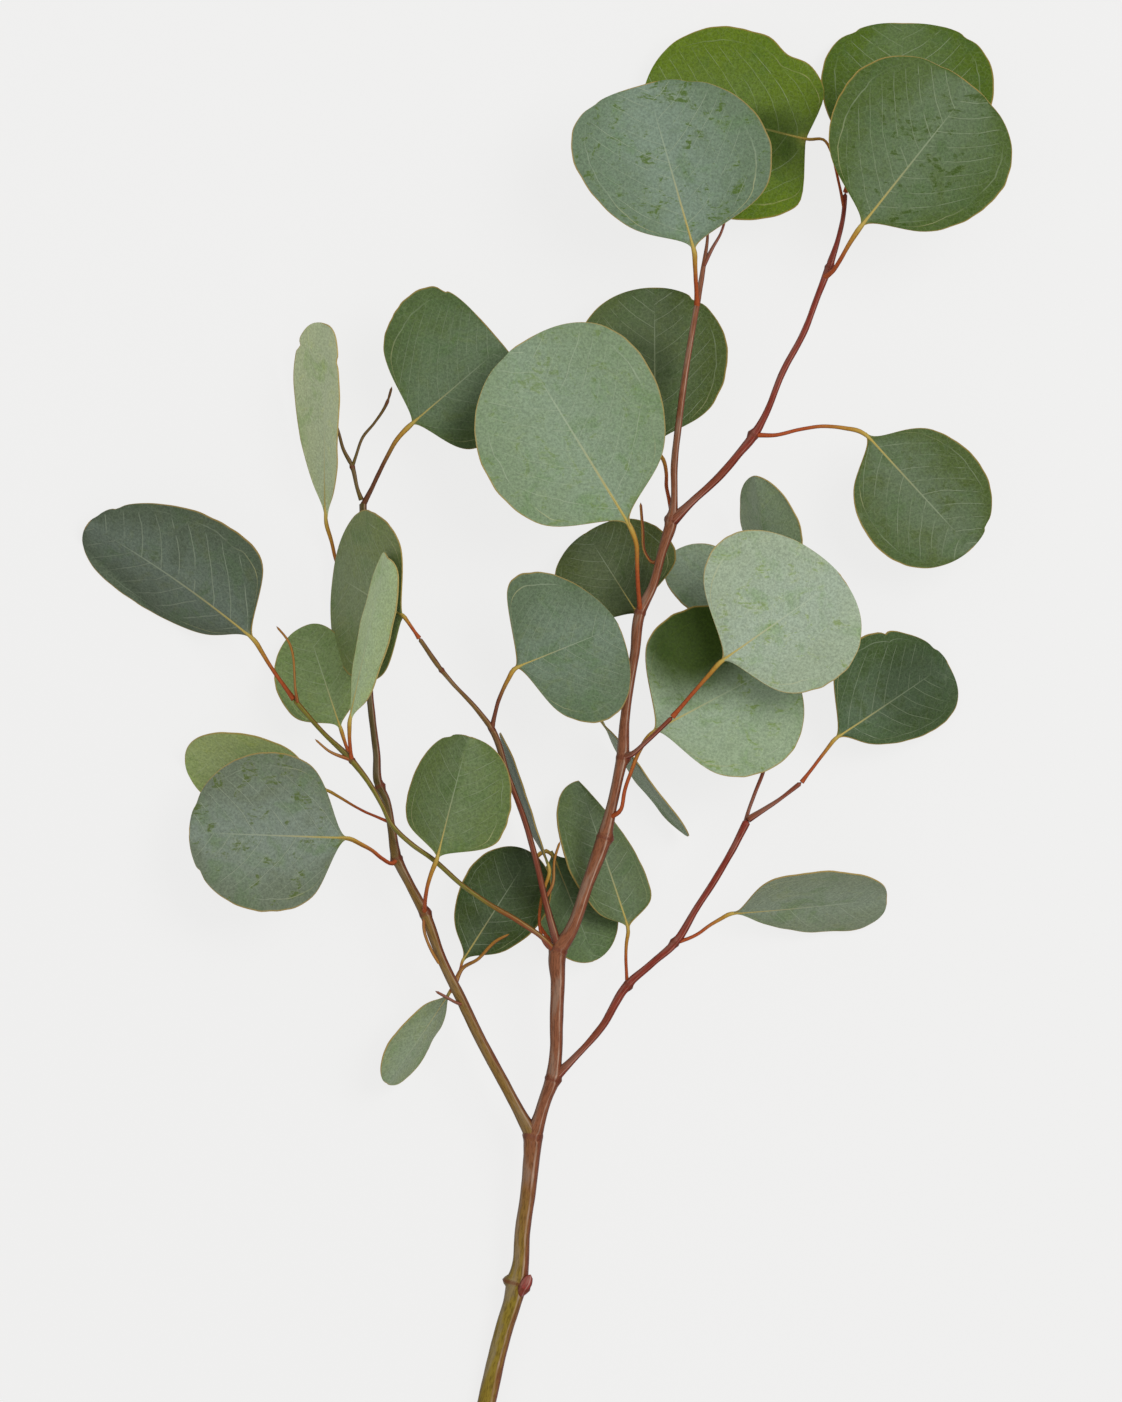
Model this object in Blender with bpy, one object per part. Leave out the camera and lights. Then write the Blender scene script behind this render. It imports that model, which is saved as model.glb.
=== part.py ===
"""A cut branch of silver-dollar eucalyptus, lying on a flat surface.

Blender works in metres. The tables below are in millimetres and degrees.
X runs to the right, Y from the cut end towards the crown, and Z up from the surface.
Every shoot is a tube along a smooth route, and every leaf is one loft from its round
stalk into its flat blade. The lower leaves and the cut end carry the branch.
"""

import math
from dataclasses import dataclass

import bmesh
import bpy
from mathutils import Matrix, Vector

MM = 0.001
ORIGIN = Vector((0.2, -0.5, 0.0))   # where the tables' own zero lies in the part's frame
GAP = 0.3                           # left between pieces that touch
SHOOT_STEP = 8.0                    # longest straight facet along a shoot
STALK_STEP = 6.0                    # longest straight facet along a leaf's stalk
TRIM_STEP = 0.1                     # how finely a side piece is shortened to clear its parent
SECTION_SIDES = 8
BLADE_ROWS = 11
BLADE_HALF_THICKNESS = 0.35
STALK_RADIUS = 0.65

RED_BARK = (0.30, 0.10, 0.065)
OLIVE_BARK = (0.24, 0.17, 0.06)
DARK_BARK = (0.10, 0.07, 0.035)
OCHRE_BARK = (0.45, 0.22, 0.05)
BUD_RED = (0.33, 0.07, 0.05)
BLUE_LEAF = (0.16, 0.24, 0.20)
SAGE_LEAF = (0.24, 0.32, 0.22)
GREEN_LEAF = (0.14, 0.22, 0.10)
DARK_LEAF = (0.08, 0.13, 0.08)
FRESH_LEAF = (0.16, 0.25, 0.05)
BARK_ROUGHNESS = 0.45
LEAF_ROUGHNESS = 0.6


@dataclass
class Shoot:
    """One length of wood: points (x, y, z, radius) from its root, and the piece it grows from."""

    name: str
    colour: tuple
    points: list
    parent: str = ""


@dataclass
class Leaf:
    """One leaf: its stalk's points from the parent to the blade's base, then the blade.

    heading turns from +X towards +Y, pitch lifts the tip, and roll lifts the left side.
    fold lifts both margins by that much for each unit of width, droop lowers the tip, and
    bend carries it to the left, both as parts of the length. The width rises as
    s ** shoulder from the base and closes as (1 - s) ** crown at the tip, so that small
    values are blunt ends. neck is the part of the length over which it widens from its
    stalk, and lobe carries the base's margins back past the stalk.
    """

    name: str
    colour: tuple
    parent: str
    stalk: list
    heading: float
    pitch: float
    roll: float
    length: float
    left: float
    right: float
    fold: float = 0.08
    droop: float = 0.03
    bend: float = 0.0
    shoulder: float = 0.65
    crown: float = 0.5
    neck: float = 0.12
    lobe: float = 0.0
    radius: float = STALK_RADIUS


SHOOTS = [
    Shoot("main_stem", RED_BARK, [
        (-23.5, -230.5, 3.0, 3.0), (-18.5, -211, 4.2, 3.0), (-15.5, -197.5, 5.4, 2.9),
        (-13, -188, 6.5, 2.9), (-10.5, -180, 7.5, 3.2), (-9, -173.5, 8.4, 4.3),
        (-8, -168.5, 9.0, 3.0), (-7.3, -157.5, 10.6, 2.6), (-5.5, -145, 12.6, 2.6),
        (-4.3, -133, 14.8, 2.7), (-3.5, -125.5, 16.2, 3.1), (-1.5, -122.5, 16.7, 2.7),
        (0.5, -114, 17.8, 2.1), (2.5, -107.5, 18.8, 2.5), (3.5, -100.5, 19.6, 2.2),
        (3.7, -87.5, 21, 2.2), (4.1, -77, 22, 2.3), (4.5, -66, 23, 2.8),
        (7.5, -61.5, 23.4, 2.3), (13.5, -45.5, 24.4, 2.0), (19, -30, 25.2, 2.4),
        (20.5, -24, 25.5, 2.0), (23.5, -10.5, 26.1, 1.9), (24.7, -4.5, 26.4, 2.1),
        (25.5, 7, 26.8, 1.8), (27.2, 20, 27.2, 1.75), (28.6, 28, 27.4, 1.75),
        (30.5, 42, 27.8, 2.0), (34.4, 50, 28, 1.6), (37.4, 61, 28.2, 1.6),
        (40.6, 71.5, 28.4, 1.85), (41.2, 76, 28.5, 1.25), (41.3, 88.5, 28.8, 1.15),
        (42.8, 102.5, 29.2, 1.1), (45, 119, 29.6, 1.0), (46.8, 130, 29.9, 0.95),
        (48.6, 140, 30.2, 0.95), (50.9, 154, 30.6, 0.7), (51.8, 160, 30.8, 0.5),
        (52, 166, 31, 0.4)]),
    Shoot("node_bud", BUD_RED, [
        (-8.5, -173.5, 8.4, 2.0), (-6, -173.3, 10.2, 1.9), (-4.2, -172.3, 11.4, 1.5),
        (-3.2, -170.6, 12.2, 0.7)], "main_stem"),
    Shoot("left_branch", RED_BARK, [
        (-3.8, -126.5, 16.2, 2.1), (-9, -117, 17.3, 1.85), (-13.5, -108.5, 18, 1.8),
        (-21, -94.5, 19, 1.75), (-26, -84, 19.6, 1.75), (-33, -69.5, 20.4, 1.6),
        (-38.6, -54.5, 21.2, 1.75), (-43.5, -45, 21.6, 1.5), (-47.4, -37, 22, 1.7),
        (-49.2, -27, 22, 1.35), (-51.2, -17.5, 21.6, 1.3), (-53.1, -14, 21.4, 1.45),
        (-54, -3.5, 21, 1.2), (-55.7, 10.5, 20.2, 1.15), (-57.2, 30, 19, 1.15),
        (-58, 50, 18.2, 1.1), (-58.4, 77.5, 18, 1.2)], "main_stem"),
    Shoot("left_top_twig", DARK_BARK, [
        (-58.9, 78, 18.6, 0.7), (-60, 81, 19.2, 0.65), (-61.8, 88.5, 19.4, 0.75),
        (-64.8, 94.5, 19.6, 0.55), (-66, 99, 19.6, 0.5), (-67.5, 103.5, 19.6, 0.45)],
        "left_branch"),
    Shoot("left_top_side_twig", DARK_BARK, [
        (-61.8, 88.5, 19.4, 0.5), (-60.6, 92, 20, 0.5), (-58.4, 98, 20.6, 0.5),
        (-54.7, 102.5, 21.6, 0.45), (-50.6, 109, 22.6, 0.5), (-49, 114.2, 23.2, 0.4)],
        "left_top_twig"),
    Shoot("crossing_shoot", OLIVE_BARK, [
        (3, -67, 23, 0.95), (1.3, -64.5, 24.6, 0.95), (-8.4, -57, 26, 0.85),
        (-17.3, -51.8, 27, 0.8), (-26, -45.8, 28.2, 0.8), (-36, -37, 29.4, 0.8),
        (-43, -32, 29.8, 0.8), (-49.3, -25.5, 29.8, 0.8), (-52, -20, 29.6, 0.75),
        (-55.4, -14, 29.2, 0.8), (-61.8, -5.5, 27.6, 1.0), (-70.7, 3, 24.4, 0.75),
        (-80.5, 14, 21.5, 0.85)], "main_stem"),
    Shoot("centre_left_shoot", RED_BARK, [
        (4.2, -65.5, 23.2, 1.2), (0.5, -52, 25.4, 1.05), (-3, -37, 26.6, 0.95),
        (-6.6, -24.5, 27.8, 0.9), (-11.8, -10.5, 29.2, 0.9), (-17, 4.5, 31, 1.05),
        (-21.5, 10.5, 33, 0.8), (-30.2, 20, 38, 0.7), (-33, 23.4, 40.4, 0.8),
        (-40, 33.5, 46.8, 0.7)], "main_stem"),
    Shoot("right_branch", RED_BARK, [
        (3.3, -107, 19, 1.5), (7.4, -103, 19.6, 1.3), (18.2, -91, 20.2, 1.2),
        (26.4, -77.6, 20.4, 1.4), (34.6, -70.4, 20.4, 1.15), (41.8, -64, 20.2, 1.35),
        (48.4, -53.2, 20.2, 1.1), (54, -44.6, 20.4, 1.1), (60.3, -33.8, 20.8, 1.1),
        (65, -24.6, 21, 1.3)], "main_stem"),
    Shoot("right_tip_twig", RED_BARK, [
        (65, -24.6, 21, 0.9), (75.5, -17.8, 21.6, 0.65), (82.2, -12.6, 21.8, 0.8)],
        "right_branch"),
    Shoot("right_back_twig", RED_BARK, [
        (64.2, -26, 20.9, 0.7), (65.2, -22, 17.6, 0.6), (67, -17, 17.4, 0.6), (70, -9.3, 18.2, 0.6),
        (72, -2, 18, 0.55), (73.6, 14, 17.8, 0.55), (70.4, 39.4, 17, 0.55)],
        "right_branch"),
    Shoot("right_front_twig", RED_BARK, [
        (24.7, -4.5, 26.4, 1.1), (27.6, -3.6, 29.2, 0.95), (33, 1, 32.4, 0.75),
        (40.7, 8.4, 36, 0.7)], "main_stem"),
    Shoot("crown_right_shoot", RED_BARK, [
        (40.6, 71, 28.4, 1.6), (45.6, 75.8, 28.9, 1.35), (57.2, 86.8, 29.6, 1.3),
        (61.9, 92.4, 29.8, 1.25), (66.8, 98.4, 30, 1.45), (69.5, 103, 30.2, 1.15),
        (76.2, 119, 30.8, 1.05), (82.7, 131.2, 31, 1.05), (87.4, 143.5, 31.2, 1.0),
        (90.7, 152, 31.2, 1.2), (93.5, 160.5, 30.8, 0.8), (95.4, 169, 29.8, 0.75),
        (96, 176, 28.6, 0.7)], "main_stem"),
    Shoot("crown_tip_twig", RED_BARK, [
        (50.6, 152.2, 30.6, 0.55), (53.4, 158, 31.2, 0.55), (56, 162.5, 31.4, 0.45),
        (58, 168.5, 31.4, 0.4)], "main_stem"),
    Shoot("low_left_spur", OCHRE_BARK, [
        (-29.5, -79.5, 19.9, 0.9), (-28.4, -76, 16, 0.85), (-27, -73, 15.8, 0.7),
        (-21.5, -69.3, 19.6, 0.55), (-15.5, -63.3, 21.6, 0.5), (-11.4, -61.2, 22, 0.35)],
        "left_branch"),
    Shoot("left_branch_twiglet", RED_BARK, [
        (-26, -84, 19.6, 0.6), (-28.4, -83.2, 22.2, 0.5), (-31.6, -81.4, 23.4, 0.5),
        (-35.2, -79.4, 23.2, 0.4)], "left_branch"),
    Shoot("pressed_stalk", OCHRE_BARK, [
        (-38.6, -54.5, 21.2, 0.55), (-38.8, -59.5, 22.8, 0.5), (-36.6, -66, 22.6, 0.5),
        (-33.7, -71.2, 22.6, 0.45)], "left_branch"),
    Shoot("far_left_twiglet", OCHRE_BARK, [
        (-79.2, 12.6, 21.9, 0.5), (-79.8, 16.5, 24, 0.45), (-82.4, 33, 25, 0.4),
        (-86, 37.4, 25, 0.35)], "crossing_shoot"),
    Shoot("cluster_twiglet", OCHRE_BARK, [
        (-61.8, -5.5, 27.6, 0.55), (-69, -2.6, 28.2, 0.45), (-73.6, 1.3, 28.2, 0.3)],
        "crossing_shoot"),
    Shoot("upper_bare_stalk", OCHRE_BARK, [
        (36.8, 58.6, 28.2, 0.6), (34.4, 57.8, 26, 0.55), (32, 61, 24.6, 0.5),
        (31.3, 68, 24.4, 0.5), (30.6, 77, 24.4, 0.45)], "main_stem"),
    Shoot("centre_bare_stalk", OCHRE_BARK, [
        (0, -50, 25.5, 0.55), (2.4, -45.4, 22.6, 0.5), (3.1, -37, 21.8, 0.45),
        (4.8, -31.5, 21.8, 0.4)], "centre_left_shoot"),
]

LEAVES = [
    Leaf("crown_left_front", BLUE_LEAF, "main_stem",
         [(48.6, 140, 30.2), (48, 149.5, 37), (47.6, 156.5, 41)],
         106, 4, 0, 55, 31.5, 32.5, shoulder=0.6, crown=0.45, radius=0.8),
    Leaf("crown_left_back", FRESH_LEAF, "crown_right_shoot",
         [(95.6, 171, 29.6), (92.3, 186, 27), (90.2, 192.6, 25), (83.6, 193.4, 22)],
         165, -14, 0, 55.5, 28, 30.5, shoulder=0.42, crown=0.32, neck=0.03, lobe=0.45),
    Leaf("crown_right_front", BLUE_LEAF, "crown_right_shoot",
         [(90.7, 152, 31.2), (92.8, 152.4, 35), (97, 159.4, 40), (100.2, 164, 42)],
         51.5, 6, 0, 59.5, 32.5, 27.5, shoulder=0.6, radius=0.85),
    Leaf("crown_right_back", GREEN_LEAF, "crown_right_shoot",
         [(96, 176, 28.6), (98.5, 181.5, 27.4), (106, 181.5, 26), (114.3, 179, 24)],
         89, -24, 0, 59, 26, 29.5, crown=0.42),
    Leaf("centre_top_back", DARK_LEAF, "main_stem",
         [(40.6, 74, 28.4), (38.9, 82, 24), (38.3, 90, 20.4), (35.2, 94.6, 19)],
         90, -8, 0, 52.5, 25, 23.3, radius=0.7),
    Leaf("centre_big_front", SAGE_LEAF, "main_stem",
         [(30.5, 42, 27.8), (29.8, 48.6, 33.4), (29.4, 56.4, 37), (29.1, 63.6, 39),
          (27.2, 69, 40)],
         121.6, 5, 0, 68.5, 30.5, 31.5, shoulder=0.5, radius=0.95),
    Leaf("upper_left", GREEN_LEAF, "left_branch",
         [(-58.3, 76.4, 17.8), (-54.9, 83, 19.6), (-51, 91, 21), (-47, 97.8, 21.8),
          (-43, 102, 22)],
         40, 18, 0, 40.5, 31, 21.5, shoulder=0.42, crown=0.33, radius=0.8),
    Leaf("narrow_left", SAGE_LEAF, "left_branch",
         [(-58, 48, 18.2), (-62, 50, 11), (-66.2, 55.6, 5.6), (-68, 61, 4.6),
          (-69.2, 66.5, 5.6), (-70.7, 71.4, 8)],
         90.5, 18, -62, 65.3, 17, 17, fold=0.24),
    Leaf("right_mid", BLUE_LEAF, "crown_right_shoot",
         [(66.8, 98.4, 30), (70.5, 98, 30.8), (80, 99.9, 31.2), (89.4, 101.2, 30.8),
          (97, 100.4, 29.4), (102.4, 99, 28)],
         -47, -8, 0, 51, 21.5, 22, radius=0.7),
    Leaf("left_far", DARK_LEAF, "crossing_shoot",
         [(-80.5, 14, 21.5), (-87, 23, 19.4), (-93.2, 33, 17.5)],
         140, -3, -37, 65.5, 20, 25, fold=-0.19, bend=0.14, shoulder=0.5, radius=0.75),
    Leaf("left_dark_tall", DARK_LEAF, "centre_left_shoot",
         [(-40, 33.5, 46.8), (-44.8, 40.4, 50)],
         150, -54, -26, 46, 27, 27, fold=0.0),
    Leaf("left_small_front", SAGE_LEAF, "crossing_shoot",
         [(-61.8, -5.5, 27.6), (-62.4, 0.5, 31), (-62.4, 6.5, 33.5)],
         78, 20, -69, 57, 13, 16, fold=-0.19, radius=0.7),
    Leaf("left_small_back", GREEN_LEAF, "crossing_shoot",
         [(-61.8, -5.5, 27.6), (-63.4, -1.8, 24), (-65.4, 4.4, 21)],
         109, -20, -8, 38, 15.5, 10.5, shoulder=0.55),
    Leaf("left_blue", BLUE_LEAF, "left_branch",
         [(-47.4, -37, 22), (-49.2, -38.6, 25.4), (-55.5, -34.2, 28), (-62.7, -30.4, 28.6)],
         178, -4, 0, 51.5, 24.3, 26.5, shoulder=0.5, radius=0.75),
    Leaf("left_green_back", FRESH_LEAF, "left_branch",
         [(-49.5, -25.5, 22), (-60, -21, 17), (-65.4, -17.8, 15), (-70.4, -15, 14)],
         169, -12, -38, 48, 16, 16.5, radius=0.5),
    Leaf("mid_left_green", SAGE_LEAF, "left_branch",
         [(-38.6, -54.5, 21.2), (-38.4, -51, 27), (-37.2, -44.5, 32.6), (-35.4, -39.2, 34.2),
          (-34.4, -37, 34.4)],
         76, 5, -20, 40.5, 17, 18, fold=-0.3, shoulder=0.36, crown=0.42, radius=0.75),
    Leaf("centre_left", BLUE_LEAF, "centre_left_shoot",
         [(-17, 4.5, 31), (-15, 13, 32), (-12.2, 19.5, 32.4), (-9.6, 24, 32.6)],
         22, 8, 0, 36.5, 27, 26.5, shoulder=0.42, radius=0.75),
    Leaf("centre_back_dark", DARK_LEAF, "main_stem",
         [(31.2, 44, 27.8), (31, 40.6, 24), (29.6, 41.4, 21)],
         122, -25, 0, 34.5, 20, 21.5, shoulder=0.4),
    Leaf("back_blue_small", BLUE_LEAF, "right_back_twig",
         [(71, 36, 17), (67.6, 37.6, 14.8), (64, 39.2, 13.6)],
         137, -5, 25, 32, 11, 13, radius=0.5),
    Leaf("back_upper", BLUE_LEAF, "right_back_twig",
         [(70.4, 39.4, 17), (72, 44, 17.4), (73.6, 49, 18)],
         101.6, 10, -58, 37.5, 17, 16, fold=-0.2, crown=0.62, radius=0.5),
    Leaf("right_pale_front", SAGE_LEAF, "right_front_twig",
         [(40.7, 8.4, 36), (49.8, 19, 39.6), (56, 26, 41)],
         35, 5, 0, 46, 28.5, 25.5, shoulder=0.42, crown=0.45, radius=0.75),
    Leaf("right_green_mid", GREEN_LEAF, "main_stem",
         [(20.5, -24, 25.5), (22.8, -24.4, 28.2), (24.9, -17, 28.4), (27.9, -8.2, 27.8),
          (30.7, -1.6, 27.2), (34.4, 3.6, 27)],
         28, -2, 0, 48, 31, 27.5, shoulder=0.42, crown=0.45, radius=0.75),
    Leaf("right_far", GREEN_LEAF, "right_tip_twig",
         [(82.2, -12.6, 21.8), (89.2, -3.5, 20.8), (93, 1.4, 20)],
         33, -20, 18, 49, 22, 16.5, shoulder=0.5, crown=0.4, radius=0.65),
    Leaf("right_low", BLUE_LEAF, "right_branch",
         [(41.8, -64, 20.2), (47.7, -62, 19.6), (53.3, -58.2, 18.4), (59.6, -54.7, 17)],
         4, -3, 56, 50.5, 19.5, 16.5, shoulder=0.58, radius=0.65),
    Leaf("edge_right", SAGE_LEAF, "main_stem",
         [(26.5, 15, 27), (22, 15.4, 21), (17.2, 13.5, 16.5), (16.4, 9.2, 15)],
         -54.7, -8, 80, 49.7, 9.5, 11, fold=0.0),
    Leaf("twisted_centre", GREEN_LEAF, "right_branch",
         [(26.4, -77.6, 20.4), (26, -71, 15.5), (26.1, -65, 12.6), (26.8, -59.8, 12)],
         105, -4, 30, 52, 14, 16.5, fold=-0.1, bend=0.07, radius=0.7),
    Leaf("lower_dark_back", DARK_LEAF, "main_stem",
         [(4.5, -66, 23), (0.5, -62, 17), (-3.5, -55, 12), (-5, -46, 10), (-4.4, -39, 9),
          (-1.6, -35.4, 8.4), (2, -34.8, 8)],
         -68, 0, -12, 38, 13, 12.5),
    Leaf("edge_centre", SAGE_LEAF, "main_stem",
         [(4.4, -68, 22.8), (-1.2, -62.5, 21.4), (-1.6, -55, 21.6), (-0.8, -48, 22),
          (1.2, -43, 22.4), (1.5, -40, 22.4)],
         112, -7, -80, 46.4, 11, 9, fold=0.0, radius=0.6),
    Leaf("lower_left_dark", DARK_LEAF, "low_left_spur",
         [(-27.6, -74.2, 15.8), (-26.6, -70.2, 15)],
         57.5, 3, 0, 41.5, 14, 14.3, shoulder=0.8, radius=0.5),
    Leaf("lower_left_hanging", BLUE_LEAF, "low_left_spur",
         [(-28.4, -76, 16), (-29.4, -77.8, 13), (-30.6, -80, 12)],
         -123, 3, -58, 35.7, 13, 14, fold=-0.2, radius=0.5),
]


def smooth_route(points, step):
    """Samples (position and any further values) on a smooth curve through the points."""
    knots = [Vector(point) for point in points]
    spans = [(knots[i + 1].xyz - knots[i].xyz).length for i in range(len(knots) - 1)]
    slopes = [(knots[i + 1] - knots[i]) / spans[i] for i in range(len(spans))]
    tangents = [slopes[0]]
    for i in range(1, len(spans)):
        weight = spans[i - 1] / (spans[i - 1] + spans[i])
        tangents.append(slopes[i - 1] * (1 - weight) + slopes[i] * weight)
    tangents.append(slopes[-1])
    samples = [knots[0]]
    for i, span in enumerate(spans):
        count = max(1, math.ceil(span / step))
        for k in range(1, count + 1):
            t = k / count
            start = knots[i] * (2 * t ** 3 - 3 * t ** 2 + 1)
            leave = tangents[i] * span * (t ** 3 - 2 * t ** 2 + t)
            end = knots[i + 1] * (3 * t ** 2 - 2 * t ** 3)
            arrive = tangents[i + 1] * span * (t ** 3 - t ** 2)
            samples.append(start + leave + end + arrive)
    return samples


def room(point, route):
    """How far a point is outside the tube that follows a route, or beyond its end."""
    best = math.inf
    for i in range(len(route) - 1):
        start = route[i].xyz
        along = route[i + 1].xyz - start
        t = (point - start).dot(along) / along.length_squared
        if i == len(route) - 2 and t > 1:
            past_end = (point - route[-1].xyz).dot(along.normalized())
            side = (point - start - along * t).length - route[-1].w
            return min(best, max(past_end, side))
        t = min(max(t, 0), 1)
        radius = route[i].w * (1 - t) + route[i + 1].w * t
        best = min(best, (point - start - along * t).length - radius)
    return best


def rim(centre, direction, radius):
    """Points round the end of a tube."""
    side = direction.orthogonal().normalized() * radius
    turns = [Matrix.Rotation(math.tau * i / SECTION_SIDES, 3, direction) for i in range(SECTION_SIDES)]
    return [centre + turn @ side for turn in turns]


def clear_of_parent(points, radius, parent_route):
    """The route's points with its root cut back until its end face clears the parent."""
    fine = smooth_route(points, TRIM_STEP)
    start = 0
    for start in range(len(fine) - 1):
        direction = (fine[start + 1].xyz - fine[start].xyz).normalized()
        edge = rim(fine[start].xyz, direction, radius)
        if min(room(point, parent_route) for point in edge) >= GAP:
            break
    cut = fine[start]
    kept = [Vector(point) for point in points]
    while len(kept) > 1 and fine_index(fine, kept[0]) <= start + 4:
        kept.pop(0)
    return [tuple(cut)] + [tuple(point) for point in kept]


def fine_index(samples, point):
    """The number of the sample nearest to a point."""
    return min(range(len(samples)), key=lambda i: (samples[i] - point).length)


def blade_half_width(leaf, s):
    """The blade's half width at s of its length, where the widest place is 1."""
    widest = leaf.shoulder / (leaf.shoulder + leaf.crown)
    rise = (s / widest) ** leaf.shoulder
    close = ((1 - s) / (1 - widest)) ** leaf.crown
    neck = 1 - math.exp(-(s / leaf.neck) ** 2)
    return rise * close * neck


def blade_frame(leaf):
    """The blade's forward, left and upward directions."""
    heading = math.radians(leaf.heading)
    pitch = math.radians(leaf.pitch)
    forward = Vector((math.cos(heading) * math.cos(pitch), math.sin(heading) * math.cos(pitch),
                      math.sin(pitch)))
    level = Vector((-math.sin(heading), math.cos(heading), 0))
    left = Matrix.Rotation(math.radians(leaf.roll), 3, forward) @ level
    return forward, left, forward.cross(left)


def stalk_rings(leaf, route, forward, left):
    """Round sections along the stalk, turned so that they meet the blade's first one."""
    rings = []
    side = left
    ahead = forward
    for i in reversed(range(len(route) - 1)):
        direction = (route[i + 1] - route[i]).normalized()
        side = ahead.rotation_difference(direction) @ side
        ahead = direction
        up = direction.cross(side).normalized()
        rings.append(section(route[i], side.normalized() * leaf.radius, up * leaf.radius))
    rings.reverse()
    return rings


def section(centre, side, up):
    """One ring of points, from the left margin over the top."""
    angles = [math.tau * i / SECTION_SIDES for i in range(SECTION_SIDES)]
    return [centre + side * math.cos(angle) + up * math.sin(angle) for angle in angles]


def blade_rings(leaf, forward, left, up):
    """Flat sections along the blade. A margin that would pass the surface lies on it."""
    base = Vector(leaf.stalk[-1])
    rings = []
    for row in range(BLADE_ROWS + 1):
        x = row / BLADE_ROWS
        s = x * x * (3 - 2 * x)
        width = blade_half_width(leaf, s)
        stalk_part = leaf.radius * (1 - s) ** 8
        thickness = max(BLADE_HALF_THICKNESS, leaf.radius * (1 - s) ** 8)
        axis = base + leaf.length * (forward * s + (left * leaf.bend - up * leaf.droop) * s * s)
        ring = []
        for i in range(SECTION_SIDES):
            angle = math.tau * i / SECTION_SIDES
            across = math.cos(angle)
            reach = (leaf.left if across > 0 else leaf.right) * width + stalk_part
            offset = across * max(reach, BLADE_HALF_THICKNESS)
            middle = axis + left * offset + up * leaf.fold * abs(offset)
            middle -= forward * leaf.lobe * abs(offset) * (1 - s) ** 4
            middle.z = max(middle.z, thickness * abs(up.z))
            ring.append(middle + up * thickness * math.sin(angle))
        rings.append(ring)
    return rings


def bark_or_leaf_material(name, colour, roughness):
    """A plain Principled material for one piece."""
    material = bpy.data.materials.new(name)
    material.use_nodes = True
    shader = material.node_tree.nodes["Principled BSDF"]
    shader.inputs["Base Color"].default_value = (*colour, 1)
    shader.inputs["Roughness"].default_value = roughness
    shader.inputs["Metallic"].default_value = 0
    return material


def make_shoot(shoot, points, collection):
    """A tapering tube with filled ends along the shoot's route."""
    route = smooth_route(points, SHOOT_STEP)
    curve = bpy.data.curves.new(shoot.name, "CURVE")
    curve.dimensions = "3D"
    curve.bevel_depth = MM
    curve.bevel_resolution = 2
    curve.use_fill_caps = True
    spline = curve.splines.new("POLY")
    spline.points.add(len(route) - 1)
    for point, sample in zip(spline.points, route):
        place = (sample.xyz + ORIGIN) * MM
        point.co = (*place, 1)
        point.radius = sample.w
    piece = bpy.data.objects.new(shoot.name, curve)
    curve.materials.append(bark_or_leaf_material(shoot.name, shoot.colour, BARK_ROUGHNESS))
    collection.objects.link(piece)


def make_leaf(leaf, points, collection):
    """One closed loft: stalk sections, blade sections and the two end faces."""
    forward, left, up = blade_frame(leaf)
    route = [sample.xyz for sample in smooth_route(points, STALK_STEP)]
    rings = stalk_rings(leaf, route, forward, left) + blade_rings(leaf, forward, left, up)
    mesh = bpy.data.meshes.new(leaf.name)
    form = bmesh.new()
    vertices = [[form.verts.new((point + ORIGIN) * MM) for point in ring] for ring in rings]
    for here, ahead in zip(vertices, vertices[1:]):
        for i in range(SECTION_SIDES):
            j = (i + 1) % SECTION_SIDES
            form.faces.new((here[i], here[j], ahead[j], ahead[i]))
    form.faces.new(list(reversed(vertices[0])))
    form.faces.new(vertices[-1])
    bmesh.ops.recalc_face_normals(form, faces=form.faces)
    form.to_mesh(mesh)
    form.free()
    mesh.shade_smooth()
    mesh.materials.append(bark_or_leaf_material(leaf.name, leaf.colour, LEAF_ROUGHNESS))
    collection.objects.link(bpy.data.objects.new(leaf.name, mesh))


def main():
    """Clear the scene, then grow the shoots and hang the leaves on them."""
    for old in list(bpy.data.objects):
        bpy.data.objects.remove(old, do_unlink=True)
    collection = bpy.data.collections.new("eucalyptus_branch")
    bpy.context.scene.collection.children.link(collection)
    routes = {}
    for shoot in SHOOTS:
        points = shoot.points
        if shoot.parent:
            points = clear_of_parent(points, points[0][3], routes[shoot.parent])
        routes[shoot.name] = smooth_route(points, SHOOT_STEP)
        make_shoot(shoot, points, collection)
    for leaf in LEAVES:
        points = clear_of_parent(leaf.stalk, leaf.radius, routes[leaf.parent])
        make_leaf(leaf, points, collection)


main()
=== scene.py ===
"""The finished looks of a cut eucalyptus branch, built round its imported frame.

The tables are in millimetres and degrees. X runs to the right, Y from the cut end towards the
crown, and Z up from the floor. Each shoot is a tube shaped from a grid along a smooth route,
and each leaf is a thin blade shaped from a grid, joined to the tube of its stalk and midrib.
Every mesh carries an attribute named flat, which its material reads. On wood it is the
cosine and sine of the turn round the shoot, both larger on a node's ring, and the distance
along the shoot. On a blade it is the parts of the length along and across, and the share of
the half width. On a stalk or midrib it is the place along, the cosine of the turn, and -1.
"""

import math
from dataclasses import dataclass
from functools import partialmethod

import bmesh
import bpy
from bpy.props import FloatProperty, FloatVectorProperty, IntProperty, PointerProperty
from mathutils import Matrix, Vector, noise


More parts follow.
